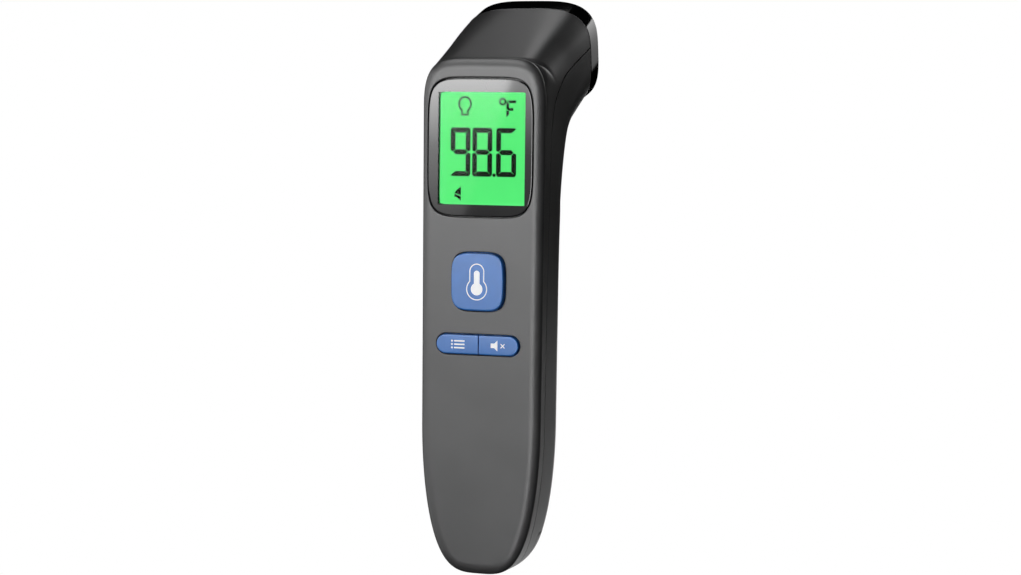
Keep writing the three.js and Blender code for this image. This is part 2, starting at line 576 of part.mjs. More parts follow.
/** A solid through nose sections, each given as (y, inset). */
function noseLoft(list) {
  const sections = list.map(([y, inset]) => noseSection(y, inset).reverse());
  return solid(new LoftGeometry(sections, { capStart: true, capEnd: true }));
}
const { length: ringLength, round } = NOSE;
const ringBody = noseLoft([[GAP, 0], [ringLength - round, 0], [ringLength - 0.45, 0.45], [ringLength, round]])
  .subtract(noseLoft([[-1, 3.4], [2.1, 3.4]]))
  .subtract(noseLoft([[2, 2.2], [ringLength - 2.2, 2.2]]))
  .add(noseLoft([[-3.2, 2.5], [0, 2.2], [1, 2.2]]).subtract(noseLoft([[-6, 3.6], [0, 3.4], [2, 3.4]])))
  .subtract(rod(0, NOSE.backLift, 11, 4, 12, 32));
piece('nose_ring', ringBody, material(COLORS.gloss, 0.06), nose);

/** Moves a solid turned about +Y onto the sensor's axis. */
function onAxis(body) {
  return body.translate([0, 0, NOSE.backLift]);
}
const coneProfile = [
  [9.9, 8.2], [4.6, -1.2], [4.6, -2.2], [5.6, -2.2], [9.6, 5],
  [12.2, 5], [12.2, 6.1], [10.7, 6.1], [10.7, 8.2], [9.9, 8.2],
];
piece('sensor_cone', onAxis(turned(coneProfile, 32)), material(COLORS.gloss, 0.1), nose);
const sleeveProfile = [[3.2, -2.5], [3.2, -3.4], [4.5, -3.4], [4.5, -9.5], [7, -9.5], [7, -2.5], [3.2, -2.5]];
piece('sensor_sleeve', onAxis(turned(sleeveProfile)), material(COLORS.brass, 0.3, 0.9), nose);
const canProfile = [[0, -7.6], [4.15, -7.6], [4.15, -3.7], [2.5, -3.7], [2.5, -4.4], [0, -4.4]];
piece('thermopile_can', onAxis(turned(canProfile)), springFinish, nose);
piece('sensor_window', onAxis(rod(0, 0, 2.2, -4.1, -3.7, 20)), material(COLORS.filter, 0.15, 0.6), nose);
piece('sensor_board', onAxis(box([-8, -11, -10], [8, -9.8, 4.5])), material(COLORS.board, 0.5), nose);

// the flat cable drops from the sensor board to the back of the main board's top
const cablePath = [[24.2, 138.5], [24.2, 134.9], [20.5, 131.6], [14.5, 129.6], [11, 126], [11, 119]];
const CABLE = { width: 9, thickness: 0.3, overlap: 0.28 };
const cable = cablePath.slice(1).map(([y, z], i) => {
  const [fromY, fromZ] = cablePath[i];
  const length = Math.hypot(y - fromY, z - fromZ) + CABLE.overlap;
  const run = new THREE.BoxGeometry(CABLE.width, CABLE.thickness, length);
  run.rotateX(Math.atan2(fromY - y, z - fromZ));
  return solid(run.translate(0, (y + fromY) / 2, (z + fromZ) / 2));
}).reduce((joined, run) => joined.add(run));
piece('sensor_cable', cable, material(COLORS.white, 0.6));

// stand the object centred on its box
const bounds = new THREE.Box3().setFromObject(group);
const middle = bounds.getCenter(new THREE.Vector3());
group.position.set(-middle.x, -middle.y, -bounds.min.z);

export default group;
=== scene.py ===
import math

import bmesh
import bpy
import numpy as np
from mathutils import Matrix, Vector


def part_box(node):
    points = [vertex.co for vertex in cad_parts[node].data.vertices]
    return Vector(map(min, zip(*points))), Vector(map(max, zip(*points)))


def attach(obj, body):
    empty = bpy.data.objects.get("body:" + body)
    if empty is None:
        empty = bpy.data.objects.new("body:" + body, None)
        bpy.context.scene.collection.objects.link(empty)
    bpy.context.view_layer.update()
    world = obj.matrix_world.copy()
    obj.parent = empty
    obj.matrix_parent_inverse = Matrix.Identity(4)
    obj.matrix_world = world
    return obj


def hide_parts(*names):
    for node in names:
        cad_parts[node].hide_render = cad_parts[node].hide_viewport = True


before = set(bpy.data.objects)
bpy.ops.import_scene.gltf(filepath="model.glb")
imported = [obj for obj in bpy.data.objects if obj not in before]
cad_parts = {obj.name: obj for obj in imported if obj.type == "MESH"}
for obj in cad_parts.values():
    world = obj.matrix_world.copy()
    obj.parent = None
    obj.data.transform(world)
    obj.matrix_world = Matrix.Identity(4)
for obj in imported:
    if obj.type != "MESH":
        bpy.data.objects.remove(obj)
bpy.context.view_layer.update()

# ------------------------------------------------------------------ dimensions, in millimetres
# Shapes are worked out in body millimetres: x to the right, y back from the display face, z up from the tip.

MM = 0.001
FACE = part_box("front_housing")[0].y / MM
GAP = 0.3
FINE_GAP = 0.12
WALL = 1.8
FAR = 90.0

HALF_WIDTH = 18.0
TAPER = 0.0038
THICKNESS = 20.0
END_RISE, END_POWER = 42.0, 3.4
BACK_RISE, BACK_POWER = 9.0, 2.2
STRAIGHT_TOP = 104.0
PLATE_TOP, PLATE_SHOULDER = 143.9, 129.9
PLATE_WIDTH_POWER, PLATE_RISE_POWER = 5.0, 2.7
PLATE_DEPTH, PLATE_BACK_EDGE = 3.0, 0.35
FILLET_DEPTH, FILLET_REACH = 2.0, 3.2
LEDGE_LOW, LEDGE_HIGH, LEDGE_FROM, LEDGE_TO = 0.03, 0.75, 132.0, 143.0
TUBE_FRONT = 2.3

NOSE_Y, NOSE_Z, NOSE_TILT = 36.4, 144.2, math.radians(8)
NOSE_HALF_WIDTH, NOSE_HALF_HEIGHT, NOSE_POWER = 19.4, 14.4, 3.5
NOSE_LIFT, NOSE_BACK_WIDTH, NOSE_BACK_HEIGHT, NOSE_LENGTH, NOSE_ROUND = 1.16, 19.3, 14.9, 8.6, 1.5
OPENING, OPENING_LIP = 11.0, 0.4

SEAM = [(8.6, -4), (7.6, 3), (5.3, 18), (5.3, 60), (6.4, 108), (7.9, 126.5), (12.2, 135.6), (24.8, 143.3),
        (70, 160)]

WINDOW_POWER = 5.6
MAIN_KEY_POWER = 4.2
UPPER_SCREW_X, UPPER_SCREW_Z = 11.2, 94.6
LOWER_SCREW_Z = 6.0
COVER_HALF, COVER_FRONT, COVER_TOP = 13.6, 12.3, 60.5
BAY_HALF, BAY_FLOOR, BAY_BOTTOM, BAY_TOP, BAY_WALL = 11.4, 6.9, 9.9, 59.3, 1.2
COVER_WALL, LEDGE_DEPTH = 1.6, 10.6
SHANK_HOLE, BOSS, COUNTERBORE, POST = 1.4, 2.7, 2.5, 3.3
SOUND_Z, SOUND_HOLE, SOUND_PITCH = 76, 0.7, 3.2
GROOVES, GROOVE_FIRST, GROOVE_PITCH, GROOVE_HALF, GROOVE_RADIUS, GROOVE_DEPTH = 5, 48.45, 2.2, 6.4, 0.45, 0.5
SEAT_FRONT, SEAT_BACK = 1.9, 3.2
FLANGE_FRONT, FLANGE_BACK = 2.3, 3.1


def span(node):
    """Lowest and highest corner of a CAD node, in body millimetres."""
    low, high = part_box(node)
    shift = np.array([0.0, FACE, 0.0])
    return np.array(low) / MM - shift, np.array(high) / MM - shift


def middle(node):
    low, high = span(node)
    return (low + high) / 2


# ------------------------------------------------------------------ meshes from grids

def lerp(a, b, t):
    return a + (b - a) * t


def smoothstep(x, low, high):
    t = np.clip((x - low) / (high - low), 0, 1)
    return t * t * (3 - 2 * t)


def mesh_object(name, points, faces):
    """A mesh from body-millimetre points and a list of face arrays, each (count, corners)."""
    metres = (np.asarray(points, float) + [0, FACE, 0]) * MM
    mesh = bpy.data.meshes.new(name)
    polygons = [row for block in faces for row in np.asarray(block).tolist()]
    mesh.from_pydata(metres.tolist(), [], polygons)
    mesh.validate()
    piece = bpy.data.objects.new(name, mesh)
    bpy.context.scene.collection.objects.link(piece)
    return piece


def loft(name, rings):
    """A closed solid from rings of points, shaped (rows, columns, 3); a fan closes each end.

    Rows run against the winding, so that faces point out when a ring turns clockwise seen from the last row.
    """
    rows, columns = rings.shape[:2]
    first, last = rings[0].mean(0), rings[-1].mean(0)
    points = np.vstack([rings.reshape(-1, 3), first, last])
    row, column = np.meshgrid(np.arange(rows - 1), np.arange(columns), indexing="ij")
    after = (column + 1) % columns
    quads = np.stack([row * columns + column, row * columns + after,
                      (row + 1) * columns + after, (row + 1) * columns + column], -1).reshape(-1, 4)
    turn = np.arange(columns)
    start = np.stack([np.full(columns, rows * columns), (turn + 1) % columns, turn], -1)
    end = np.stack([np.full(columns, rows * columns + 1), (rows - 1) * columns + turn,
                    (rows - 1) * columns + (turn + 1) % columns], -1)
    piece = mesh_object(name, points, [quads, start, end])
    make_outward(piece)
    return piece


def make_outward(piece):
    """Turns a closed mesh the right way out, by the sign of its volume."""
    work = bmesh.new()
    work.from_mesh(piece.data)
    if work.calc_volume(signed=True) < 0:
        bmesh.ops.reverse_faces(work, faces=work.faces)
        work.to_mesh(piece.data)
    work.free()


def polar(power, count):
    """Unit superellipse |x|^power + |z|^power = 1, evenly spread by direction, counterclockwise."""
    angle = 2 * np.pi * np.arange(count) / count
    c, s = np.cos(angle), np.sin(angle)
    radius = (np.abs(c) ** power + np.abs(s) ** power) ** (-1 / power)
    return np.stack([c * radius, s * radius], -1)


def squircle(x, z, a, b, power, count=160):
    """Superellipse outline of half-sizes a and b round (x, z), as (count, 2)."""
    return polar(power, count) * [a, b] + [x, z]


def capsule(z, left, right, radius, count=48):
    """Outline of a rectangle with half-round ends, as (x, z) pairs."""
    turn = np.linspace(-np.pi / 2, np.pi / 2, count)
    right_end = np.stack([right - radius + radius * np.cos(turn), z + radius * np.sin(turn)], -1)
    left_end = np.stack([left + radius - radius * np.cos(turn), z - radius * np.sin(turn)], -1)
    return np.vstack([right_end, left_end])


def inset(outline, distance):
    """An outline moved inwards along its normals; it runs counterclockwise."""
    along = np.roll(outline, -1, 0) - np.roll(outline, 1, 0)
    along /= np.linalg.norm(along, axis=1, keepdims=True) + 1e-12
    return outline + np.stack([-along[:, 1], along[:, 0]], -1) * distance


def stack(name, outline, steps):
    """A solid from one outline in the XZ plane: each step (y, d) puts it at depth y, moved inwards by d."""
    return loft(name, at_depths([(y, inset(outline, d)) for y, d in steps]))


def at_depths(layers):
    """Rings of points from layers of (depth, outline)."""
    return np.array([np.stack([p[:, 0], np.full(len(p), float(y)), p[:, 1]], -1) for y, p in layers])


def quarter(radius, steps=6):
    """Depth and inset of a rounded edge: radius (1 - cos a) and radius (1 - sin a), a up to 90 degrees."""
    angle = np.linspace(0, np.pi / 2, steps)
    return list(zip(radius * (1 - np.cos(angle)), radius * (1 - np.sin(angle))))


def block(name, low, high):
    """A box between two corners, in body millimetres."""
    corners = [(x, y, z) for x in (low[0], high[0]) for y in (low[1], high[1]) for z in (low[2], high[2])]
    faces = [(0, 1, 3, 2), (4, 6, 7, 5), (0, 4, 5, 1), (2, 3, 7, 6), (0, 2, 6, 4), (1, 5, 7, 3)]
    piece = mesh_object(name, corners, [faces])
    make_outward(piece)
    return piece


def rod(name, x, z, radius, start, end, sides=64):
    """A cylinder along Y."""
    return stack(name, squircle(x, z, radius, radius, 2, sides), [(start, 0), (end, 0)])


def turned(profile, sides=128):
    """Rings of points from a profile of (radius, y) turned about +Y."""
    profile = np.array(profile, float)
    angle = 2 * np.pi * np.arange(sides) / sides
    return np.stack([profile[:, None, 0] * np.cos(angle), np.repeat(profile[:, None, 1], sides, 1),
                     profile[:, None, 0] * np.sin(angle)], -1)


def grid(rows, columns):
    """Four-sided faces over a grid of points that closes on itself both ways."""
    row, column = np.meshgrid(np.arange(rows), np.arange(columns), indexing="ij")
    after, below = (column + 1) % columns, (row + 1) % rows
    here, under = row * columns, below * columns
    return np.stack([here + column, here + after, under + after, under + column], -1).reshape(-1, 4)


# ------------------------------------------------------------------ joining and cutting

def combine(piece, tool, operation):
    """Boolean of two closed solids; the tool is used up."""
    modifier = piece.modifiers.new("cut", "BOOLEAN")
    modifier.operation = operation
    modifier.solver = "MANIFOLD"
    modifier.object = tool
    finished = bpy.data.meshes.new_from_object(piece.evaluated_get(bpy.context.evaluated_depsgraph_get()))
    piece.modifiers.clear()
    old, piece.data = piece.data, finished
    bpy.data.meshes.remove(old)
    bpy.data.objects.remove(tool)
    return piece


def cut(piece, *tools):
    for tool in tools:
        combine(piece, tool, "DIFFERENCE")
    return piece


def join(piece, *tools):
    for tool in tools:
        combine(piece, tool, "UNION")
    return piece


def keep(piece, tool):
    return combine(piece, tool, "INTERSECT")


def copy_of(piece):
    twin = bpy.data.objects.new(piece.name + "_copy", piece.data.copy())
    bpy.context.scene.collection.objects.link(twin)
    return twin


def crease_display_face(mesh):
    """Creases the border of the flat display face, so that its shading stays flat right up to the border."""
    normals = np.zeros(len(mesh.polygons) * 3, np.float32)
    totals = np.zeros(len(mesh.polygons), np.int32)
    edges = np.zeros(len(mesh.loops), np.int32)
    mesh.polygons.foreach_get("normal", normals)
    mesh.polygons.foreach_get("loop_total", totals)
    mesh.loops.foreach_get("edge_index", edges)
    flat = np.repeat(normals[1::3] < -0.9999, totals)
    beside_flat = np.bincount(edges[flat], minlength=len(mesh.edges))
    sharp = np.zeros(len(mesh.edges), bool)
    mesh.edges.foreach_get("use_edge_sharp", sharp)
    mesh.edges.foreach_set("use_edge_sharp", sharp | (beside_flat == 1))


def smooth(piece, degrees=32):
    """Smooth shading led by the largest faces, with creases where faces meet at more than an angle."""
    piece.data.polygons.foreach_set("use_smooth", np.ones(len(piece.data.polygons), bool))
    piece.data.set_sharp_from_angle(angle=math.radians(degrees))
    crease_display_face(piece.data)
    weighting = piece.modifiers.new("weighting", "WEIGHTED_NORMAL")
    weighting.mode, weighting.keep_sharp, weighting.weight = "FACE_AREA", True, 90
    return piece


# ------------------------------------------------------------------ the body's outer form

def handle_half_width(z):
    """A straight taper, closed at the bottom by (x/a)^power + (1 - z/rise)^2 = 1."""
    rise = np.clip(1 - z / END_RISE, 0, 1)
    return (HALF_WIDTH - TAPER * (PLATE_TOP - z)) * (1 - rise ** 2) ** (1 / END_POWER)


def plate_half_width(z):
    """The handle's half-width, closed at the top by (x/a)^5 + (rise)^2.7 = 1."""
    rise = np.clip((z - PLATE_SHOULDER) / (PLATE_TOP - PLATE_SHOULDER), 0, 1)
    return handle_half_width(z) * (1 - rise ** PLATE_RISE_POWER) ** (1 / PLATE_WIDTH_POWER)


def plate_outline(steps=72):
    """The front plate's outline, counterclockwise from the tip."""
    turn = np.linspace(0, np.pi / 2, steps)
    bottom = END_RISE * (1 - np.cos(turn))
    straight = np.linspace(END_RISE, PLATE_SHOULDER, 40)[1:-1]
    top = PLATE_SHOULDER + (PLATE_TOP - PLATE_SHOULDER) * np.sin(turn) ** (2 / PLATE_RISE_POWER)
    z = np.concatenate([bottom, straight, top])
    right = np.stack([plate_half_width(z), z], -1)
    left = right[1:-1][::-1] * [-1, 1]
    return np.vstack([right, left])


def bezier(points, count=80):
    """A cubic Bezier curve through four control points."""
    t = np.linspace(0, 1, count)[:, None]
    a, b, c, d = np.array(points, float)
    return (1 - t) ** 3 * a + 3 * (1 - t) ** 2 * t * b + 3 * (1 - t) * t ** 2 * c + t ** 3 * d


def by_length(path, t):
    """Points at fractions t of a polyline's length."""
    run = np.concatenate([[0], np.cumsum(np.linalg.norm(np.diff(path, axis=0), axis=1))])
    return np.stack([np.interp(t * run[-1], run, path[:, k]) for k in range(path.shape[1])], -1)


def head_curves(front, depth):
    """The YZ curves that the head's sections run between: over the top, and under the neck."""
    up = np.array([-math.sin(NOSE_TILT), math.cos(NOSE_TILT)])
    centre = np.array([NOSE_Y, NOSE_Z])
    high = centre + up * (NOSE_HALF_HEIGHT - depth)
    low = centre - up * (NOSE_HALF_HEIGHT - depth)
    over = np.vstack([
        [[front, STRAIGHT_TOP]],
        bezier([(front, 138 - depth), (front, 141.6 - depth),
                (front + 0.6, 142.6 - depth), (4.6 + depth, PLATE_TOP - depth)]),
        [high]])
    under = np.vstack([
        bezier([(THICKNESS + 0.5 - depth, STRAIGHT_TOP), (21.6 - depth, 111 + depth * 0.2),
                (22 - depth, 120 + depth * 0.6), (28 - depth * 0.5, 124.4 + depth)]),
        [low]])
    return over, under


def back_of_handle(z, depth):
    """The back's depth at a height: rounded at the tip, swelling a little below the neck."""
    rise = np.clip(1 - z / BACK_RISE, 0, 1)
    belly = BACK_RISE + (THICKNESS - BACK_RISE) * (1 - rise ** 2) ** (1 / BACK_POWER)
    return belly + smoothstep(z, 80, STRAIGHT_TOP + 16) * 1.1 - depth


def tube(name, front, depth, fine, overrun=0):
    """The bent tube: sections with superelliptic corners, up the handle, round the neck and along the barrel.

    A section runs from its front point to its back point; fine is the number of steps in each corner.
    """
    low = depth + 0.4 if depth else 0.05
    start = math.acos(1 - low / END_RISE)
    z_end = END_RISE * (1 - np.cos(np.linspace(start, np.pi / 2, 3 * fine)))
    z = np.concatenate([z_end, np.linspace(END_RISE, STRAIGHT_TOP, fine)[1:-1]])
    t = np.linspace(0, 1, 7 * fine)
    over, under = head_curves(front, depth)
    head_front, head_back = by_length(over, t), by_length(under, t)
    front_point = np.vstack([np.stack([np.full(len(z), float(front)), z], -1), head_front])
    back_point = np.vstack([np.stack([back_of_handle(z, depth), z], -1), head_back])
    t = np.concatenate([np.zeros(len(z)), t])
    flare = smoothstep(t, 0.3, 1)
    handle = handle_half_width(np.minimum(front_point[:, 1], 130))
    half_width = lerp(handle, NOSE_HALF_WIDTH, flare) - LEDGE_LOW - depth

    height = front_point[:, 1] + depth
    ledge = lerp(LEDGE_LOW, LEDGE_HIGH, smoothstep(height, LEDGE_FROM, LEDGE_TO))
    beside_plate = plate_half_width(np.minimum(height + ledge, PLATE_TOP - 0.25)) - ledge - depth
    past_plate = np.clip((height - LEDGE_TO) / 15, 0, 1) ** 1.6
    flat = np.minimum(half_width - 0.5, lerp(beside_plate, 0.5, past_plate))

    length = np.linalg.norm(back_point - front_point, axis=1)
    along = (back_point - front_point) / length[:, None]
    half = length / 2 - 0.25
    grow = smoothstep(t, 0.25, 1)
    power = lerp(2.2, NOSE_POWER, grow)[:, None]
    back_across = np.minimum(half_width - 0.3, lerp(7 - depth, half_width - 0.5, grow))[:, None]
    back_rise = np.minimum(half, lerp(6 - depth, half, grow))[:, None]
    front_across = (half_width - flat)[:, None]
    front_rise = np.minimum(half, lerp(0.6, half, smoothstep(t, 0.2, 0.75)))[:, None]

    turn = np.linspace(0, np.pi / 2, fine)[None, :]
    radius = (np.cos(turn) ** power + np.sin(turn) ** power) ** (-1 / power)
    cos, sin = np.cos(turn) * radius, np.sin(turn) * radius
    width, length = half_width[:, None], length[:, None]
    ratio = np.linspace(0, 1, fine // 2 + 2)[None, 1:-1]
    back_corner = (width - back_across + back_across * cos[:, ::-1],
                   length - back_rise + back_rise * sin[:, ::-1])
    side = width + 0 * ratio, lerp(length - back_rise, front_rise, ratio)
    front_corner = width - front_across + front_across * cos, front_rise - front_rise * sin
    front_middle = lerp(width - front_across, 0, ratio), 0 * ratio * width
    back_middle = lerp(0, width - back_across, ratio), length + 0 * ratio
    across = np.hstack([back_middle[0], back_corner[0], side[0], front_corner[0], front_middle[0]])
    reach = np.hstack([back_middle[1], back_corner[1], side[1], front_corner[1], front_middle[1]])
    across = np.hstack([across, -across[:, ::-1]])
    reach = np.hstack([reach, reach[:, ::-1]])
    rings = np.stack([across, front_point[:, None, 0] + along[:, None, 0] * reach,
                      front_point[:, None, 1] + along[:, None, 1] * reach], -1)
    if overrun:
        out = np.array([0, math.cos(NOSE_TILT), math.sin(NOSE_TILT)]) * overrun
        rings = np.concatenate([rings, rings[-1:] + out])
    return loft(name, rings)


def seam_block(shift):
    """Everything on the display side of the seam: a Catmull-Rom curve through its points, carried across."""
    knots = np.array(SEAM, float) + [shift, -shift]
    knots = np.vstack([knots[0], knots, knots[-1]])
    t = np.linspace(0, 1, 24, endpoint=False)[:, None]
    runs = []
    for a, b, c, d in zip(knots, knots[1:], knots[2:], knots[3:]):
        v0, v1 = (c - a) / 2, (d - b) / 2
        runs.append((2 * b - 2 * c + v0 + v1) * t ** 3 + (3 * c - 3 * b - 2 * v0 - v1) * t ** 2 + v0 * t + b)
    edge = np.vstack(runs + [knots[-1:]])
    left, right = [-FAR, edge[0, 1]], [-FAR, 200]
    outline = np.vstack([left, edge, [70, 200], right])
    across = [np.stack([np.full(len(outline), x), outline[:, 0], outline[:, 1]], -1) for x in (-FAR, FAR)]
    return prism("seam_block", np.array(across))


def prism(name, rings):
    """A solid between two equal outlines, each closed by one many-sided face."""
    count = rings.shape[1]
    turn = np.arange(count)
    sides = np.stack([turn, (turn + 1) % count, (turn + 1) % count + count, turn + count], -1)
    ends = [turn[::-1], turn + count]
    piece = mesh_object(name, rings.reshape(-1, 3), [sides, *[e[None] for e in ends]])
    make_outward(piece)
    return piece


def flared(name, outline, depth, radius=0.25, clearance=GAP):
    """A hole cutter that widens at the face, so that the hole gets a rounded rim."""
    rim = [(y, -clearance - d) for y, d in quarter(radius)]
    return stack(name, outline, [(-1, -clearance - radius), *rim, (depth, -clearance)])


# ------------------------------------------------------------------ housings

back_edge = [(PLATE_DEPTH - y, d) for y, d in reversed(quarter(PLATE_BACK_EDGE, 5))]
front_edge = [(y * FILLET_DEPTH / FILLET_REACH, d) for y, d in quarter(FILLET_REACH, 24)]
plate = stack("plate", plate_outline(), front_edge + back_edge)
outer = join(plate, tube("tube", TUBE_FRONT, 0, 26))
hollow = tube("hollow", 2.0, WALL, 9, overrun=6)

window_low, window_high = span("display_window")
window_x, window_z = middle("display_window")[[0, 2]]
window_outline = squircle(window_x, window_z, *((window_high - window_low)[[0, 2]] / 2), WINDOW_POWER, 220)
key_low, key_high = span("measure_button")
KEY_LIP = 0.8
key_x, key_z = middle("measure_button")[[0, 2]]
key_outline = squircle(key_x, key_z, *((key_high - key_low)[[0, 2]] / 2 - KEY_LIP), MAIN_KEY_POWER, 160)
pill_low, pill_high = span("memory_button")[0], span("mute_button")[1]
PILL_LIP = 0.7
pill_z = (pill_low[2] + pill_high[2]) / 2
pill_radius = (pill_high[2] - pill_low[2]) / 2 - PILL_LIP
pill_outline = capsule(pill_z, pill_low[0] + PILL_LIP, pill_high[0] - PILL_LIP, pill_radius)
lcd_low = span("lcd_panel")[0]
VIEW_X, VIEW_HALF_X, VIEW_HALF_Z = -0.3, 13.25, 15.6
CLEAR_X, CLEAR_HALF_X, CLEAR_HALF_Z = -0.1, 12.8, 15.6
view_z = middle("lcd_panel")[2]


def front_shell():
    """Front housing: the face plate, the front of the tube, the window's seat and the screw bosses."""
    shell = cut(copy_of(outer), copy_of(hollow))
    shell = keep(shell, seam_block(0))
    seat = stack("seat", squircle(0, window_z, 16.3, 20, 7), [(SEAT_FRONT, 0), (SEAT_BACK, 0)])
    join(shell, seat)
    for side in (-1, 1):
        boss = rod("boss", side * UPPER_SCREW_X, UPPER_SCREW_Z, BOSS, SEAT_FRONT, LEDGE_DEPTH)
        join(shell, cut(boss, rod("hole", side * UPPER_SCREW_X, UPPER_SCREW_Z, SHANK_HOLE, 4.2, 12)))
    foot = rod("foot", 0, LOWER_SCREW_Z, BOSS, SEAT_FRONT, 6.2)
    join(shell, cut(foot, rod("hole", 0, LOWER_SCREW_Z, SHANK_HOLE, 3.4, 8)))
    view = stack("view", squircle(VIEW_X, view_z, VIEW_HALF_X, VIEW_HALF_Z, 40, 96), [(0, 0), (4, 0)])
    cut(shell, flared("pocket", window_outline, SEAT_FRONT, 0.3), view,
        flared("key_hole", key_outline, 4), flared("pill_hole", pill_outline, 4))
    return smooth(shell)


def rear_shell():
    """Rear housing: neck and barrel underside, battery tray, screw seats and sound holes."""
    shell = cut(copy_of(outer), copy_of(hollow), seam_block(GAP))
    ledge_back, ledge_top = COVER_FRONT - FINE_GAP, COVER_TOP + GAP + BAY_WALL
    tray = block("tray", (-BAY_HALF - BAY_WALL, BAY_FLOOR - BAY_WALL, BAY_BOTTOM - BAY_WALL),
                 (BAY_HALF + BAY_WALL, ledge_back, ledge_top))
    ledge = block("ledge", (-FAR, LEDGE_DEPTH, -5), (FAR, ledge_back, ledge_top))
    bulkhead = block("bulkhead", (-15.2, LEDGE_DEPTH, COVER_TOP + GAP), (15.2, THICKNESS - 1, ledge_top))
    foot = rod("foot", 0, LOWER_SCREW_Z, 5, 6.8, ledge_back)
    filled = cut(keep(join(tray, ledge, bulkhead, foot), copy_of(outer)), seam_block(GAP))
    join(shell, filled)
    opening = block("opening", (-COVER_HALF - GAP, ledge_back, -5), (COVER_HALF + GAP, FAR, COVER_TOP + GAP))
    bay = block("bay", (-BAY_HALF, BAY_FLOOR, BAY_BOTTOM), (BAY_HALF, FAR, BAY_TOP))
    cut(shell, opening, bay)
    for side in (-1, 1):
        x, z = side * UPPER_SCREW_X, UPPER_SCREW_Z
        join(shell, rod("post", x, z, POST, 10.9, THICKNESS - 1))
        cut(shell, rod("counterbore", x, z, COUNTERBORE, 14, FAR), rod("hole", x, z, SHANK_HOLE, 5, FAR))
    cut(shell, rod("counterbore", 0, LOWER_SCREW_Z, COUNTERBORE, 9.2, 14),
        rod("hole", 0, LOWER_SCREW_Z, SHANK_HOLE, 5, 14))
    for x in (-SOUND_PITCH, 0, SOUND_PITCH):
        cut(shell, rod("sound_hole", x, SOUND_Z, SOUND_HOLE, 12, FAR, 32))
    return smooth(shell)


def cover_shell():
    """Battery cover: the lower back of the handle, with five finger grooves."""
    shell = keep(copy_of(outer), block("blank", (-COVER_HALF, COVER_FRONT, -5), (COVER_HALF, FAR, COVER_TOP)))
    cut(shell, block("inside", (-COVER_HALF + COVER_WALL, COVER_FRONT - 1, BAY_BOTTOM),
                     (COVER_HALF - COVER_WALL, THICKNESS - COVER_WALL, COVER_TOP + 1)))
    profile = [(-GROOVE_DEPTH, 0.1), (-0.3, 0), (0.02, -0.12), (1, -0.12)]
    for i in range(GROOVES):
        groove = capsule(GROOVE_FIRST + i * GROOVE_PITCH, -GROOVE_HALF, GROOVE_HALF, GROOVE_RADIUS, 12)
        cut(shell, stack("groove", groove, [(THICKNESS + y, d) for y, d in profile]))
    return smooth(shell)


def finish_piece(piece, body, slot, material, *nodes):
    """Gives a piece its material, puts it on its body and hides the CAD nodes it stands for."""
    piece.data.materials.clear()
    piece.data.materials.append(material)
    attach(piece, body)
    if nodes:
        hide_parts(*nodes)
    return piece


# ------------------------------------------------------------------ shader maths

class Value:
    """A shader socket that can be added, multiplied and compared in an expression."""

    def __init__(self, tree, socket):
        self.tree, self.socket = tree, socket

    def math(self, operation, *others, clamp=False):
        node = self.tree.node("ShaderNodeMath", {"operation": operation, "use_clamp": clamp}, {})
        for index, term in enumerate((self, *others)):
            self.tree.feed(node.inputs[index], term)
        return Value(self.tree, node.outputs[0])

    def __add__(self, other):
        return self.math("ADD", other)

    def __sub__(self, other):
        return self.math("SUBTRACT", other)

    def __mul__(self, other):
        return self.math("MULTIPLY", other)

    def __truediv__(self, other):
        return self.math("DIVIDE", other)

    def __neg__(self):
        return self.math("MULTIPLY", -1)

    def __rsub__(self, other):
        return (-self) + other

    __radd__ = __add__
    __rmul__ = __mul__

    def abs(self):
        return self.math("ABSOLUTE")

    def sqrt(self):
        return self.math("SQRT")

    def min(self, other):
        return self.math("MINIMUM", other)

    def max(self, other):
        return self.math("MAXIMUM", other)

    def ramp(self, low, high):
        """0 below low, 1 above high, straight between."""
        node = self.tree.node("ShaderNodeMapRange", {}, {"Value": self, "From Min": low, "From Max": high})
        return Value(self.tree, node.outputs[0])

    def step(self, low, high):
        """0 below low, 1 above high, smooth between."""
        node = self.tree.node("ShaderNodeMapRange", {"interpolation_type": "SMOOTHSTEP"},
                              {"Value": self, "From Min": low, "From Max": high})
        return Value(self.tree, node.outputs[0])


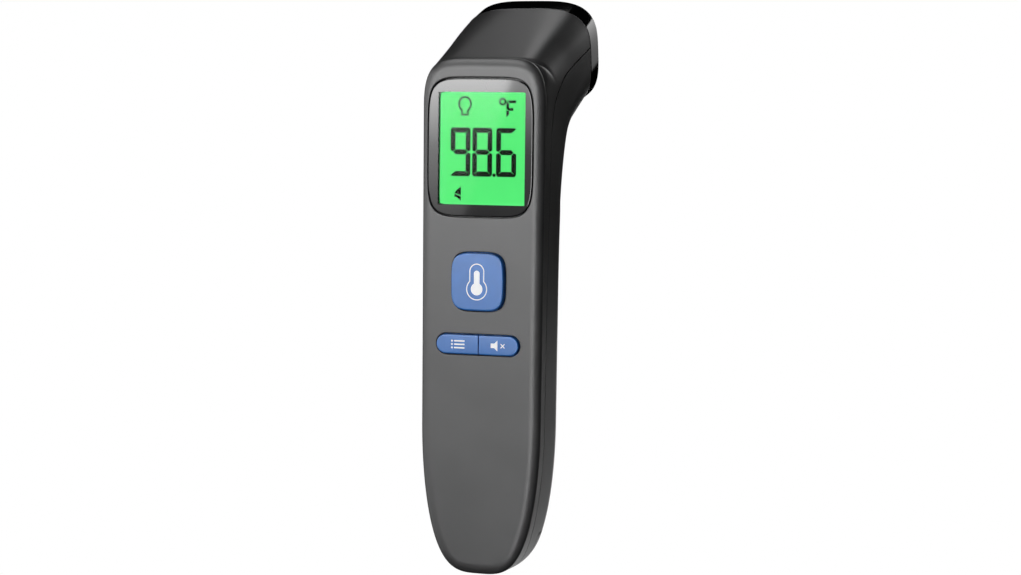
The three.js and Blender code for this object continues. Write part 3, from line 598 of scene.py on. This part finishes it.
class Tree:
    """One material's node tree."""

    def __init__(self, name, kind="material"):
        self.material = bpy.data.materials.new(name) if kind == "material" else bpy.data.worlds.new(name)
        self.material.use_nodes = True
        self.tree = self.material.node_tree
        self.tree.nodes.clear()
        output = "ShaderNodeOutputMaterial" if kind == "material" else "ShaderNodeOutputWorld"
        self.out = self.tree.nodes.new(output)

    def node(self, kind, settings, sockets):
        """Any node: its type, its settings (set first), and the values or links of its sockets."""
        made = self.tree.nodes.new(kind)
        for key, value in settings.items():
            setattr(made, key, value)
        for key, value in sockets.items():
            self.feed(made.inputs[key], value)
        return made

    def feed(self, socket, value):
        if isinstance(value, Value):
            self.tree.links.new(value.socket, socket)
        elif isinstance(value, bpy.types.NodeSocket):
            self.tree.links.new(value, socket)
        elif isinstance(value, (tuple, list)) and len(value) == 3 and socket.type == "RGBA":
            socket.default_value = (*value, 1)
        else:
            socket.default_value = value

    def value(self, kind, settings, sockets):
        return Value(self, self.node(kind, settings, sockets).outputs[0])

    def place(self):
        """Object coordinates in body millimetres, as x, y and z."""
        coordinates = self.node("ShaderNodeTexCoord", {}, {})
        split = self.node("ShaderNodeSeparateXYZ", {}, {"Vector": coordinates.outputs["Object"]})
        shift = (0, FACE, 0)
        return [Value(self, split.outputs[k]) * (1 / MM) - shift[k] for k in range(3)]

    def noise(self, scale, detail=3.0, roughness=0.55):
        """Noise on Object coordinates; scale is features per millimetre."""
        coordinates = self.node("ShaderNodeTexCoord", {}, {})
        return self.value("ShaderNodeTexNoise", {}, {
            "Vector": coordinates.outputs["Object"], "Scale": scale / MM,
            "Detail": detail, "Roughness": roughness})

    def mix(self, factor, a, b):
        node = self.node("ShaderNodeMix", {"data_type": "RGBA"}, {0: factor, 6: a, 7: b})
        return node.outputs[2]

    def bump(self, height, distance, strength=1.0, normal=None):
        sockets = {"Height": height, "Distance": distance * MM, "Strength": strength}
        if normal is not None:
            sockets["Normal"] = normal
        return self.node("ShaderNodeBump", {}, sockets).outputs[0]

    def bevel(self, radius):
        """A normal rounded over every edge nearer than the radius."""
        return self.node("ShaderNodeBevel", {"samples": 4}, {"Radius": radius * MM}).outputs[0]

    def principled(self, **sockets):
        named = {key.replace("_", " "): value for key, value in sockets.items()}
        return self.node("ShaderNodeBsdfPrincipled", {}, named).outputs[0]

    def finish(self, shader):
        self.tree.links.new(shader, self.out.inputs["Surface"])
        return self.material


WHITE = (1.0, 1.0, 1.0)


def moulded_plastic(name, color, roughness, grain, radius, variation=0.06):
    """Moulded plastic: a fine grain, a slow change of colour and roughness, and softened edges."""
    tree = Tree(name)
    slow = tree.noise(0.05, 2.0)
    fine = tree.noise(2.2, 4.0, 0.7)
    dark = tuple(c * (1 - variation) for c in color)
    light = tuple(c * (1 + variation) for c in color)
    tone = tree.mix(slow.step(0.3, 0.7), dark, light)
    rough = slow * 0.05 + fine * 0.06 + (roughness - 0.055)
    normal = tree.bump(fine, grain, 1.0, tree.bevel(radius) if radius else None)
    return tree.finish(tree.principled(Base_Color=tone, Roughness=rough, Normal=normal))


def circle(x, z, cx, cz, r):
    """Signed distance to a circle."""
    dx, dz = x - cx, z - cz
    return (dx * dx + dz * dz).sqrt() - r


def box_distance(x, z, cx, cz, hx, hz):
    """Distance to a rectangle by its larger overshoot."""
    return ((x - cx).abs() - hx).max((z - cz).abs() - hz)


def stroke(x, z, a, b, r):
    """Signed distance to a round-ended stroke from a to b."""
    dx, dz = b[0] - a[0], b[1] - a[1]
    length = math.hypot(dx, dz)
    along = ((x - a[0]) * (dx / length) + (z - a[1]) * (dz / length)).max(0).min(length)
    px, pz = x - a[0] - along * (dx / length), z - a[1] - along * (dz / length)
    return (px * px + pz * pz).sqrt() - r


def printed(distance, soft=0.035):
    """1 inside a printed mark, 0 outside."""
    return 1 - distance.step(-soft, soft)


BLUE = (0.04, 0.235, 0.74)
INK = (0.9, 0.92, 0.94)


def key_plastic(name, mark):
    """Satin blue key plastic, with a white printed mark that also gets a faint painted glow; mark(x, z) gives
    the mark's signed distance.
    """
    tree = Tree(name)
    x, _, z = tree.place()
    fine = tree.noise(2.6, 3.0, 0.6)
    slow = tree.noise(0.12, 2.0)
    tone = tree.mix(slow.step(0.3, 0.7), tuple(c * 0.95 for c in BLUE), tuple(c * 1.05 for c in BLUE))
    ink = printed(mark(x, z))
    color = tree.mix(ink, tone, INK)
    rough = fine * 0.05 + 0.3 + ink * 0.12
    normal = tree.bump(fine, 0.004, 1.0, tree.bevel(0.12))
    # painted glow: the printed mark gives off a little light of its own, so it reads brighter than the lamps
    # alone would make it
    painted_ink_glow = tree.mix(ink, (0, 0, 0), (1, 1, 1))
    return tree.finish(tree.principled(Base_Color=color, Roughness=rough, Normal=normal,
                                       Emission_Color=painted_ink_glow, Emission_Strength=0.3))


def thermometer_mark(x, z):
    """A bulb thermometer: a thin outline round a filled stem and bulb."""
    cz = key_z
    stem_outer = stroke(x, z, (key_x, cz - 1.6), (key_x, cz + 2.95), 2.05)
    bulb_outer = circle(x, z, key_x, cz - 1.95, 2.95)
    outline = (stem_outer.min(bulb_outer).abs()) - 0.14
    stem = stroke(x, z, (key_x, cz - 1.95), (key_x, cz + 2.35), 0.83)
    bulb = circle(x, z, key_x, cz - 1.95, 1.7)
    return outline.min(stem).min(bulb)


def list_mark(x, z):
    """Stored readings: three dots, each with a bar."""
    cx = -6.1
    mark = None
    for row in (-1, 0, 1):
        height = pill_z + row * 0.95
        line = circle(x, z, cx - 1.75, height, 0.27).min(box_distance(x, z, cx + 0.45, height, 1.55, 0.2))
        mark = line if mark is None else mark.min(line)
    return mark


def muted_mark(x, z):
    """A loudspeaker and a small cross."""
    cx = 4.9
    body = box_distance(x, z, cx - 0.75, pill_z, 0.5, 0.62)
    reach = x - (cx - 0.75)
    cone = ((z - pill_z).abs() - reach * 0.95 - 0.1).max((x - cx).abs() - 0.72)
    cross = stroke(x, z, (cx + 1.75, pill_z - 0.5), (cx + 2.75, pill_z + 0.5), 0.12)
    other = stroke(x, z, (cx + 1.75, pill_z + 0.5), (cx + 2.75, pill_z - 0.5), 0.12)
    return body.min(cone).min(cross).min(other)


def metal(name, color, roughness, scratch=0.0015):
    """Plated or turned metal with fine random wear."""
    tree = Tree(name)
    fine = tree.noise(1.6, 5.0, 0.7)
    slow = tree.noise(0.3, 2.0)
    tone = tree.mix(slow.step(0.25, 0.75), tuple(c * 0.88 for c in color), color)
    rough = fine * 0.14 + (roughness - 0.07)
    normal = tree.bump(fine, scratch)
    return tree.finish(tree.principled(Base_Color=tone, Metallic=1.0, Roughness=rough, Normal=normal))


def gloss_black():
    """High-gloss black plastic: nearly a mirror, with a slow change of tone."""
    tree = Tree("gloss_black")
    slow = tree.noise(0.18, 2.0)
    fine = tree.noise(1.2, 3.0)
    tone = tree.mix(slow.step(0.3, 0.7), (0.0035, 0.0035, 0.004), (0.006, 0.006, 0.0065))
    rough = fine * 0.04 + 0.05
    return tree.finish(tree.principled(Base_Color=tone, Roughness=rough, Normal=tree.bevel(0.25)))


def window_pane_material():
    """Clear acrylic over the display, with a black border printed on it."""
    tree = Tree("window_acrylic")
    x, _, z = tree.place()
    border = box_distance(x, z, CLEAR_X, view_z, CLEAR_HALF_X, CLEAR_HALF_Z).step(-0.03, 0.03)
    smear = tree.noise(0.08, 3.0)
    tone = tree.mix(smear.step(0.3, 0.7), (0.012, 0.012, 0.013), (0.016, 0.016, 0.017))
    printed_border = tree.principled(Base_Color=tone, Roughness=smear * 0.03 + 0.03)
    fresnel = tree.node("ShaderNodeFresnel", {}, {"IOR": 1.5}).outputs[0]
    through = tree.node("ShaderNodeBsdfTransparent", {}, {"Color": (0.97, 0.98, 0.97)}).outputs[0]
    glare = {"Color": (0.12, 0.12, 0.12), "Roughness": 0.03}
    shine = tree.node("ShaderNodeBsdfGlossy", {}, glare).outputs[0]
    clear = tree.node("ShaderNodeMixShader", {}, {0: fresnel, 1: through, 2: shine}).outputs[0]
    both = tree.node("ShaderNodeMixShader", {}, {0: border, 1: clear, 2: printed_border}).outputs[0]
    return tree.finish(both)


def lcd_material():
    """Green backlit display: even light, a little brighter round its edge."""
    tree = Tree("lcd_green")
    x, _, z = tree.place()
    edge = box_distance(x, z, CLEAR_X, view_z, CLEAR_HALF_X, CLEAR_HALF_Z).step(-1.2, 0)
    glow = tree.mix(edge, (0.098, 0.93, 0.205), (0.12, 0.97, 0.24))
    mottled = tree.mix(tree.noise(0.15, 2.0).step(0.3, 0.7), (0.97, 0.97, 0.97), WHITE)
    color = tree.node("ShaderNodeVectorMath", {"operation": "MULTIPLY"}, {0: glow, 1: mottled}).outputs[0]
    return tree.finish(tree.principled(Base_Color=(0.02, 0.1, 0.03), Roughness=0.4, Specular_IOR_Level=0.0,
                                       Emission_Color=color, Emission_Strength=1.0))


def board_material():
    """Green solder mask with copper tracks under it."""
    tree = Tree("circuit_board")
    z = tree.place()[2]
    wave = tree.noise(0.25, 1.0)
    track = ((z * 0.9 + wave * 6).math("FRACT") - 0.5).abs().step(0.16, 0.2)
    color = tree.mix(track, (0.02, 0.13, 0.05), (0.012, 0.075, 0.03))
    fine = tree.noise(2.0)
    rough = fine * 0.1 + 0.3
    return tree.finish(tree.principled(Base_Color=color, Roughness=rough, Normal=tree.bump(track, 0.02)))


def cell_material(name, nub_up):
    """A cell's printed sleeve: dark body, copper band towards the positive end, bare steel ends."""
    tree = Tree(name)
    low, high = span("battery_left" if nub_up else "battery_right")
    z = tree.place()[2]
    height = (z - low[2]) / (high[2] - low[2])
    height = height if nub_up else 1 - height
    band = height.step(0.70, 0.705)
    sleeve = tree.mix(band, (0.012, 0.013, 0.015), (0.42, 0.2, 0.07))
    bare = (0.018 - height).math("GREATER_THAN", 0).max((height - 0.966).math("GREATER_THAN", 0))
    fine = tree.noise(1.5, 3.0)
    color = tree.mix(bare, sleeve, (0.55, 0.55, 0.55))
    return tree.finish(tree.principled(Base_Color=color, Metallic=bare, Roughness=fine * 0.08 + 0.26,
                                       Normal=tree.bump(fine, 0.004)))


# ------------------------------------------------------------------ pieces

SHELL = (0.062, 0.062, 0.0635)
shell_material = moulded_plastic("housing_plastic", SHELL, 0.38, 0.006, 0.22)
for shell, name, body, replaced in ((front_shell, "front_shell", "housing", "front_housing"),
                                    (rear_shell, "rear_shell", "housing", "rear_housing"),
                                    (cover_shell, "cover_shell", "cover", "battery_cover")):
    finish_piece(shell(), body, "housing_plastic", shell_material, replaced).name = name
for used in (outer, hollow):
    bpy.data.objects.remove(used)

pane_steps = [(window_low[1] + y, d) for y, d in quarter(0.3, 5)] + [(window_high[1], 0)]
finish_piece(stack("window_pane", window_outline, pane_steps), "housing", "window_acrylic",
             window_pane_material(), "display_window")


def key_cap(name, outline, proud, edge, dome, back):
    """A key cap: y = -proud - dome (1 - k^2) at k times the outline's size, then a rounded edge and sides."""
    centre, top = outline.mean(0), inset(outline, edge)
    rings = [(-proud - dome * (1 - k * k), centre + (top - centre) * k) for k in np.linspace(0.04, 0.97, 12)]
    rings += [(y - proud, inset(outline, d)) for y, d in quarter(edge, 8)] + [(back, outline)]
    return loft(name, at_depths(rings))


def key_piece(name, cap, flange, switch):
    """A key: cap, flange and the post over its switch."""
    high = span(f"{switch}_button")[1]
    post_x, post_z = middle(f"{switch}_plunger")[[0, 2]]
    join(cap, flange, rod("post", post_x, post_z, 1.7, 2.9, high[1]))
    cap.name = name
    return smooth(cap, 40)


KEY_EDGE, PILL_EDGE, DOME = 0.45, 0.35, 0.05

main_cap = key_cap("main_cap", key_outline, -key_low[1], KEY_EDGE, DOME, FLANGE_BACK)
main_flange = stack("flange", inset(key_outline, -KEY_LIP), [(FLANGE_FRONT, 0), (FLANGE_BACK, 0)])
finish_piece(key_piece("measure_key", main_cap, main_flange, "measure"), "measure_key", "blue_plastic",
             key_plastic("blue_measure", thermometer_mark), "measure_button")


def half_of(piece, side):
    """The left (-1) or right (1) half of the long key, half a gap short of the middle."""
    left, right = sorted((side * GAP / 2, side * FAR))
    return keep(piece, block("half", (left, -10, 0), (right, 10, 120)))


for word, side, mark in (("memory", -1, list_mark), ("mute", 1, muted_mark)):
    cap = half_of(key_cap("pill_cap", pill_outline, -pill_low[1], PILL_EDGE, DOME, FLANGE_BACK), side)
    lip = stack("flange", inset(pill_outline, -PILL_LIP), [(FLANGE_FRONT, 0), (FLANGE_BACK, 0)])
    flange = half_of(lip, side)
    finish_piece(key_piece(f"{word}_key", cap, flange, word), f"{word}_key", "blue_plastic",
                 key_plastic(f"blue_{word}", mark), f"{word}_button")


# nose, in its own leaning frame: +Y out of the nose

def on_nose(rings, lift=0.0):
    """Points from the nose's own frame to the body's: leaned back, then moved to the barrel's end."""
    c, s = math.cos(NOSE_TILT), math.sin(NOSE_TILT)
    x, y, z = rings[..., 0], rings[..., 1], rings[..., 2] + lift
    return np.stack([x, NOSE_Y + c * y - s * z, NOSE_Z + s * y + c * z], -1)


def nose_stack(name, steps, count=200):
    """The nose's outline at each (y, inset): it rises and grows a little from front to back."""
    rings = []
    for y, d in steps:
        t = np.clip(y / (NOSE_LENGTH - NOSE_ROUND), 0, 1)
        a, b = lerp(NOSE_HALF_WIDTH, NOSE_BACK_WIDTH, t) - d, lerp(NOSE_HALF_HEIGHT, NOSE_BACK_HEIGHT, t) - d
        lift = 0.34 * y if y < 0 else NOSE_LIFT * t
        outline = squircle(0, lift, a, b, NOSE_POWER, count)
        rings.append((y, outline))
    return loft(name, on_nose(at_depths(rings)))


def nose_lathe(name, profile):
    """A closed profile of (radius, y) turned about the sensor's axis."""
    rings = on_nose(turned(profile), NOSE_LIFT)
    piece = mesh_object(name, rings.reshape(-1, 3), [grid(*rings.shape[:2])])
    make_outward(piece)
    return piece


def nose_ring():
    """The glossy ring: softly rounded front and back edges, a flat rim and a round opening."""
    front = [(GAP + y, d) for y, d in quarter(0.25, 5)]
    back = [(NOSE_LENGTH - y, d) for y, d in reversed(quarter(NOSE_ROUND, 10))]
    ring = nose_stack("nose_cap", front + [(3.5, 0)] + back)
    cut(ring, nose_stack("hollow", [(-1, 3.4), (2.1, 3.4)]),
        nose_stack("hollow", [(2, 2.2), (NOSE_LENGTH - 2.2, 2.2)]))
    collar = nose_stack("collar", [(-3.2, 2.5), (0, 2.2), (1, 2.2)])
    cut(collar, nose_stack("bore", [(-6, 3.6), (0, 3.4), (2, 3.4)]))
    join(ring, collar)
    rim = NOSE_LENGTH - OPENING_LIP
    flare = [(OPENING, 4), (OPENING, rim)]
    flare += [(OPENING + OPENING_LIP * (1 - math.cos(a)), rim + OPENING_LIP * math.sin(a))
              for a in np.linspace(0.2, np.pi / 2, 6)]
    flare.append((OPENING + OPENING_LIP, 12))
    cut(ring, loft("opening", on_nose(turned(flare, 160), NOSE_LIFT)))
    return smooth(ring)


black = gloss_black()
finish_piece(nose_ring(), "housing", "gloss_black", black, "nose_ring")

ridges = [(lerp(4.6, 9.5, k) + 0.12 * (i % 2), lerp(-1.2, 7.6, k))
          for i, k in enumerate(np.linspace(0, 1, 17))]
cone_profile = [(4.6, -2.2), *ridges, (9.62, 8.0), (9.8, 8.15), (10.1, 8.2), (10.55, 8.15), (10.7, 8.0),
                (10.7, 6.1), (12.2, 6.1), (12.2, 5.0), (9.7, 5.0), (5.6, -2.2)]
cup = smooth(nose_lathe("reflector_cup", cone_profile))
finish_piece(cup, "housing", "gloss_black", black, "sensor_cone")

brass = metal("brass", (0.62, 0.42, 0.17), 0.3)
nickel = metal("nickel", (0.6, 0.59, 0.57), 0.28)
sleeve_profile = [(3.2, -3.4), (3.2, -2.7), (3.4, -2.5), (6.7, -2.5), (7, -2.8),
                  (7, -9.2), (6.7, -9.5), (4.5, -9.5), (4.5, -3.4)]
sink = smooth(nose_lathe("heat_sink", sleeve_profile))
finish_piece(sink, "housing", "brass_sink", brass, "sensor_sleeve")

filter_glass = metal("sensor_filter", (0.09, 0.1, 0.13), 0.16)
screw_steel = metal("screw_steel", (0.1, 0.1, 0.11), 0.32)
dark_plastic = moulded_plastic("black_plastic", (0.012, 0.012, 0.013), 0.45, 0.006, 0)
white_plastic = moulded_plastic("white_plastic", (0.72, 0.72, 0.7), 0.5, 0.004, 0)
foam = moulded_plastic("foam", (0.012, 0.012, 0.012), 0.9, 0.05, 0)
board = board_material()
carried = {
    nickel: ["thermopile_can", "crystal", "measure_switch", "memory_switch", "mute_switch", "battery_bridge",
             "battery_spring_left", "battery_spring_right", "positive_contact", "negative_contact"],
    filter_glass: ["sensor_window"],
    screw_steel: ["housing_screw_left", "housing_screw_right", "housing_screw_bottom"],
    dark_plastic: ["controller_chip", "buzzer", "measure_plunger", "memory_plunger", "mute_plunger"],
    white_plastic: ["backlight_panel", "lcd_frame", "sensor_cable"],
    foam: ["window_gasket", "zebra_strip"],
    board: ["main_board", "sensor_board"],
    lcd_material(): ["lcd_panel"],
    cell_material("cell_left", True): ["battery_left"],
    cell_material("cell_right", False): ["battery_right"],
}
for material, names in carried.items():
    for node in names:
        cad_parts[node].data.materials.clear()
        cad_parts[node].data.materials.append(material)


# ------------------------------------------------------------------ what the display shows

LCD_FRONT = lcd_low[1]
SYMBOL_BACK, SYMBOL_FRONT = LCD_FRONT - 0.03, LCD_FRONT - 0.07


def plaque(outline):
    """A thin flat mark just in front of the display glass, from an outline of (x, z)."""
    outline = np.array(outline, float)
    return prism("mark", at_depths([(SYMBOL_FRONT, outline), (SYMBOL_BACK, outline)]))


def outline_band(outline, width):
    """A band of even width along a closed outline, as one thin solid."""
    wide, narrow = inset(outline, -width / 2), inset(outline, width / 2)
    layers = [(SYMBOL_FRONT, wide), (SYMBOL_BACK, wide), (SYMBOL_BACK, narrow), (SYMBOL_FRONT, narrow)]
    piece = mesh_object("band", at_depths(layers).reshape(-1, 3), [grid(4, len(outline))])
    make_outward(piece)
    return piece


DIGIT_WIDE, DIGIT_HIGH, BAR = 5.9, 13.5, 1.4
SPLIT = 0.11


def digit(x, z, lit):
    """Seven segments, mitred where they meet: a top, b and c right, d bottom, e and f left, g middle."""
    w, h, b, s = DIGIT_WIDE / 2, DIGIT_HIGH / 2, BAR, SPLIT
    shapes = {
        "a": [(-w + s + 0.45, h), (w - s - 0.45, h), (w - s, h - 0.3),
              (w - b - s, h - b), (-w + b + s, h - b), (-w + s, h - 0.3)],
        "f": [(-w, h - 0.5 - s), (-w + 0.25, h - 0.25 - s), (-w + b, h - b - s),
              (-w + b, b / 2 + s), (-w + b / 2, s + 0.02), (-w, 0.5)],
        "g": [(-w + b / 2 + s, 0), (-w + b + s, b / 2), (w - b - s, b / 2),
              (w - b / 2 - s, 0), (w - b - s, -b / 2), (-w + b + s, -b / 2)],
    }
    shapes["b"] = [(-px, pz) for px, pz in shapes["f"]]
    shapes["c"] = [(-px, -pz) for px, pz in shapes["f"]]
    shapes["e"] = [(px, -pz) for px, pz in shapes["f"]]
    shapes["d"] = [(px, -pz) for px, pz in shapes["a"]]
    return [plaque([(x + px, z + pz) for px, pz in shapes[letter]]) for letter in lit]


def person_outline(x, z):
    """A plain head-and-neck pictogram: a round head on a short, flaring neck."""
    turn = np.linspace(-0.35 * np.pi, 1.35 * np.pi, 60)
    head = np.stack([x + 1.75 * np.cos(turn), z + 0.7 + 1.95 * np.sin(turn)], -1)
    neck = np.array([(x - 0.85, z - 1.7), (x - 1.2, z - 2.25), (x + 1.2, z - 2.25), (x + 0.85, z - 1.7)])
    return np.vstack([head, neck])


def unit_letter(x, z):
    """The letter F in segments: a top bar, two uprights and a middle bar, with fine gaps between them."""
    outlines = [
        [(0.1, 2.0), (2.7, 2.0), (2.7, 1.25), (0.85, 1.25)],
        [(-0.15, 1.85), (0.65, 1.05), (0.65, -0.15), (-0.15, -0.5)],
        [(0.1, -0.5), (0.55, -0.1), (1.9, -0.1), (1.9, -0.85), (0.55, -0.85)],
        [(-0.15, -0.7), (0.65, -1.0), (0.65, -1.9), (-0.15, -2.6)],
    ]
    return [plaque([(x + px, z + pz) for px, pz in outline]) for outline in outlines]


def sounder(x, z):
    """A small loudspeaker, cut across by a fine slanting gap."""
    outlines = [
        [(-1.0, 0.15), (-0.5, 0.85), (0.9, 2.0), (0.9, -0.5)],
        [(-1.0, -0.05), (0.9, -0.75), (0.9, -2.0), (-0.4, -0.95), (-1.0, -0.95)],
    ]
    return [plaque([(x + px, z + pz) for px, pz in outline]) for outline in outlines]


def display_symbols():
    """Everything the display shows, as one piece of dark marks."""
    digits_z = view_z - 1.0
    figures = ((-7.6, "abcdfg"), (-1.14, "abcdefg"), (5.94, "acdefg"))
    marks = [mark for x, lit in figures for mark in digit(x, digits_z, lit)]
    marks.append(plaque(squircle(2.42, digits_z - 6.3, 0.5, 0.5, 2, 24)))
    marks.append(outline_band(squircle(4.75, view_z + 13.05, 0.8, 0.8, 2, 40), 0.55))
    marks += unit_letter(6.0, view_z + 11.4)
    marks.append(outline_band(person_outline(-6.4, view_z + 11.6), 0.5))
    marks += sounder(-8.27, view_z - 12.6)
    whole = marks[0]
    whole.name = "lcd_symbols"
    merge(whole, marks[1:])
    return whole


def merge(piece, others):
    """Puts other meshes into one piece, without touching their shapes."""
    work = bmesh.new()
    work.from_mesh(piece.data)
    for other in others:
        work.from_mesh(other.data)
        bpy.data.objects.remove(other)
    work.to_mesh(piece.data)
    work.free()


def ink_material():
    """Dark liquid-crystal segments over the green light."""
    tree = Tree("lcd_ink")
    tone = tree.mix(tree.noise(0.4, 2.0), (0.006, 0.012, 0.006), (0.01, 0.02, 0.01))
    return tree.finish(tree.principled(Base_Color=tone, Roughness=0.35, Specular_IOR_Level=0.0))


finish_piece(display_symbols(), "housing", "lcd_glass", ink_material())


# ------------------------------------------------------------------ floor, lights and camera

def card(name, corners, material, seen):
    """A flat stage card from its four corners in body millimetres; seen names the rays that meet it."""
    piece = mesh_object(name, corners, [[(0, 1, 2, 3)]])
    piece.data.materials.append(material)
    for ray in ("camera", "diffuse", "glossy", "transmission", "shadow", "volume_scatter"):
        setattr(piece, f"visible_{ray}", ray in seen)
    return piece


def glow(name, stops):
    """Light that a card gives off, by height: stops are (z in body millimetres, brightness)."""
    tree = Tree(name)
    height = tree.place()[2]
    strength = None
    for (z0, b0), (z1, b1) in zip(stops, stops[1:]):
        part = height.ramp(z0, z1) * (b1 - b0)
        strength = part + b0 if strength is None else strength + part
    emission = tree.node("ShaderNodeEmission", {}, {"Color": WHITE, "Strength": strength})
    return tree.finish(emission.outputs[0])


def backdrop():
    """Plain white for the floor."""
    tree = Tree("pale_backdrop")
    return tree.finish(tree.node("ShaderNodeEmission", {}, {"Color": WHITE, "Strength": 1.0}).outputs[0])


def softbox(name, place, target, wide, high, power):
    """A rectangular area light that faces a point; body millimetres and watts."""
    light = bpy.data.lights.new(name, "AREA")
    light.shape, light.size, light.size_y, light.energy = "RECTANGLE", wide * MM, high * MM, power
    lamp = bpy.data.objects.new(name, light)
    bpy.context.scene.collection.objects.link(lamp)
    lamp.location = [place[0] * MM, (place[1] + FACE) * MM, place[2] * MM]
    aim = Vector(target) - Vector(place)
    lamp.rotation_euler = aim.to_track_quat("-Z", "Y").to_euler()
    lamp.visible_camera = False
    return lamp


FLOOR, UNDER = 6000, -0.2
floor_corners = [(x * FLOOR, y * FLOOR, UNDER) for x, y in ((-1, -1), (1, -1), (1, 1), (-1, 1))]
card("floor", floor_corners, backdrop(), ["camera"])

world = Tree("studio", "world")
world.finish(world.node("ShaderNodeBackground", {}, {"Color": WHITE, "Strength": 1.0}).outputs[0])
bpy.context.scene.world = world.material
rays = world.material.cycles_visibility
rays.camera, rays.diffuse, rays.glossy, rays.transmission, rays.scatter = True, False, False, False, False

CHEST = (0, 12, 90)
softbox("front", (-20, -600, 170), CHEST, 320, 320, 1.55)
softbox("low_fill", (500, -500, 60), CHEST, 300, 500, 0.12)
softbox("left_fill", (-500, -450, 120), CHEST, 300, 400, 0.2)

REFLECTED = (
    ("glare_left", [(-318, -600, -150), (-154, -600, 300), (-600, -600, 300), (-600, -600, -150)],
     [(40, 0.5), (73, 1.6), (110, 4.4), (146, 14.0), (165, 9.5), (300, 11.0)]),
    ("glare_right", [(-600, -602, -150), (150, -602, -150), (150, -602, 300), (-600, -602, 300)],
     [(-150, 0.2), (73, 0.5), (110, 1.3), (146, 5.6), (200, 5.6)]),
    ("fillet_front", [(20, -590, -350), (110, -590, -350), (110, -590, 320), (20, -590, 320)],
     [(-350, 10.5), (320, 11.5)]),
    ("left_edge", [(-600, -620, -300), (-600, 120, -300), (-600, 120, 400), (-600, -620, 400)],
     [(-100, 1.2), (200, 2.2)]),
    ("behind_ring", [(-20, 900, 560), (20, 900, 800), (520, 900, 500), (340, 900, 30)],
     [(90, 0.05), (118, 0.13), (150, 0.4), (212, 0.7), (300, 1.2), (470, 2.2), (700, 4.1)]),
    ("behind_handle", [(-600, 900, -500), (230, 900, -500), (230, 900, -20), (-600, 900, -20)],
     [(-500, 1.0), (-20, 1.9)]),
    ("above", [(-230, 300, 640), (-40, 300, 640), (-40, 560, 740), (-230, 560, 740)],
     [(600, 3.6), (740, 3.6)]),
    ("overhead", [(-400, -700, 700), (0, -700, 700), (0, -60, 700), (-400, -60, 700)],
     [(690, 5.0), (710, 5.0)]),
)
for name, corners, stops in REFLECTED:
    card(name, corners, glow(name, stops), ["glossy"])

VIEW_AZIMUTH, VIEW_ELEVATION, VIEW_ROLL = math.radians(20.01), math.radians(4.03), math.radians(0.65)
VIEW_DISTANCE = 0.7195
SENSOR, LENS = 36.0, 88.59
AIM, AIM_UP, AIM_RIGHT = (0, 25.5, 78.6), 0.17, -0.28


def camera():
    """A camera that looks at a point just behind the middle of the object's box, from a named direction."""
    forward = np.array([-math.sin(VIEW_AZIMUTH) * math.cos(VIEW_ELEVATION),
                        math.cos(VIEW_AZIMUTH) * math.cos(VIEW_ELEVATION), -math.sin(VIEW_ELEVATION)])
    level = np.array([math.cos(VIEW_AZIMUTH), math.sin(VIEW_AZIMUTH), 0])
    upright = np.cross(level, forward)
    right = math.cos(VIEW_ROLL) * level + math.sin(VIEW_ROLL) * upright
    up = np.cross(right, forward)
    target = np.array(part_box("front_housing")[0]) * [0, 1, 0] + np.array(AIM) * MM
    place = target + (up * AIM_UP + right * AIM_RIGHT) * MM - forward * VIEW_DISTANCE
    data = bpy.data.cameras.new("camera")
    data.sensor_width, data.lens = SENSOR, LENS
    data.clip_start, data.clip_end = 0.01, 50
    seen = bpy.data.objects.new("camera", data)
    bpy.context.scene.collection.objects.link(seen)
    matrix = Matrix.Identity(4)
    for k in range(3):
        matrix[k][0], matrix[k][1], matrix[k][2], matrix[k][3] = right[k], up[k], -forward[k], place[k]
    seen.matrix_world = matrix
    return seen


bpy.context.scene.camera = camera()
bpy.context.scene.view_settings.view_transform = "Standard"
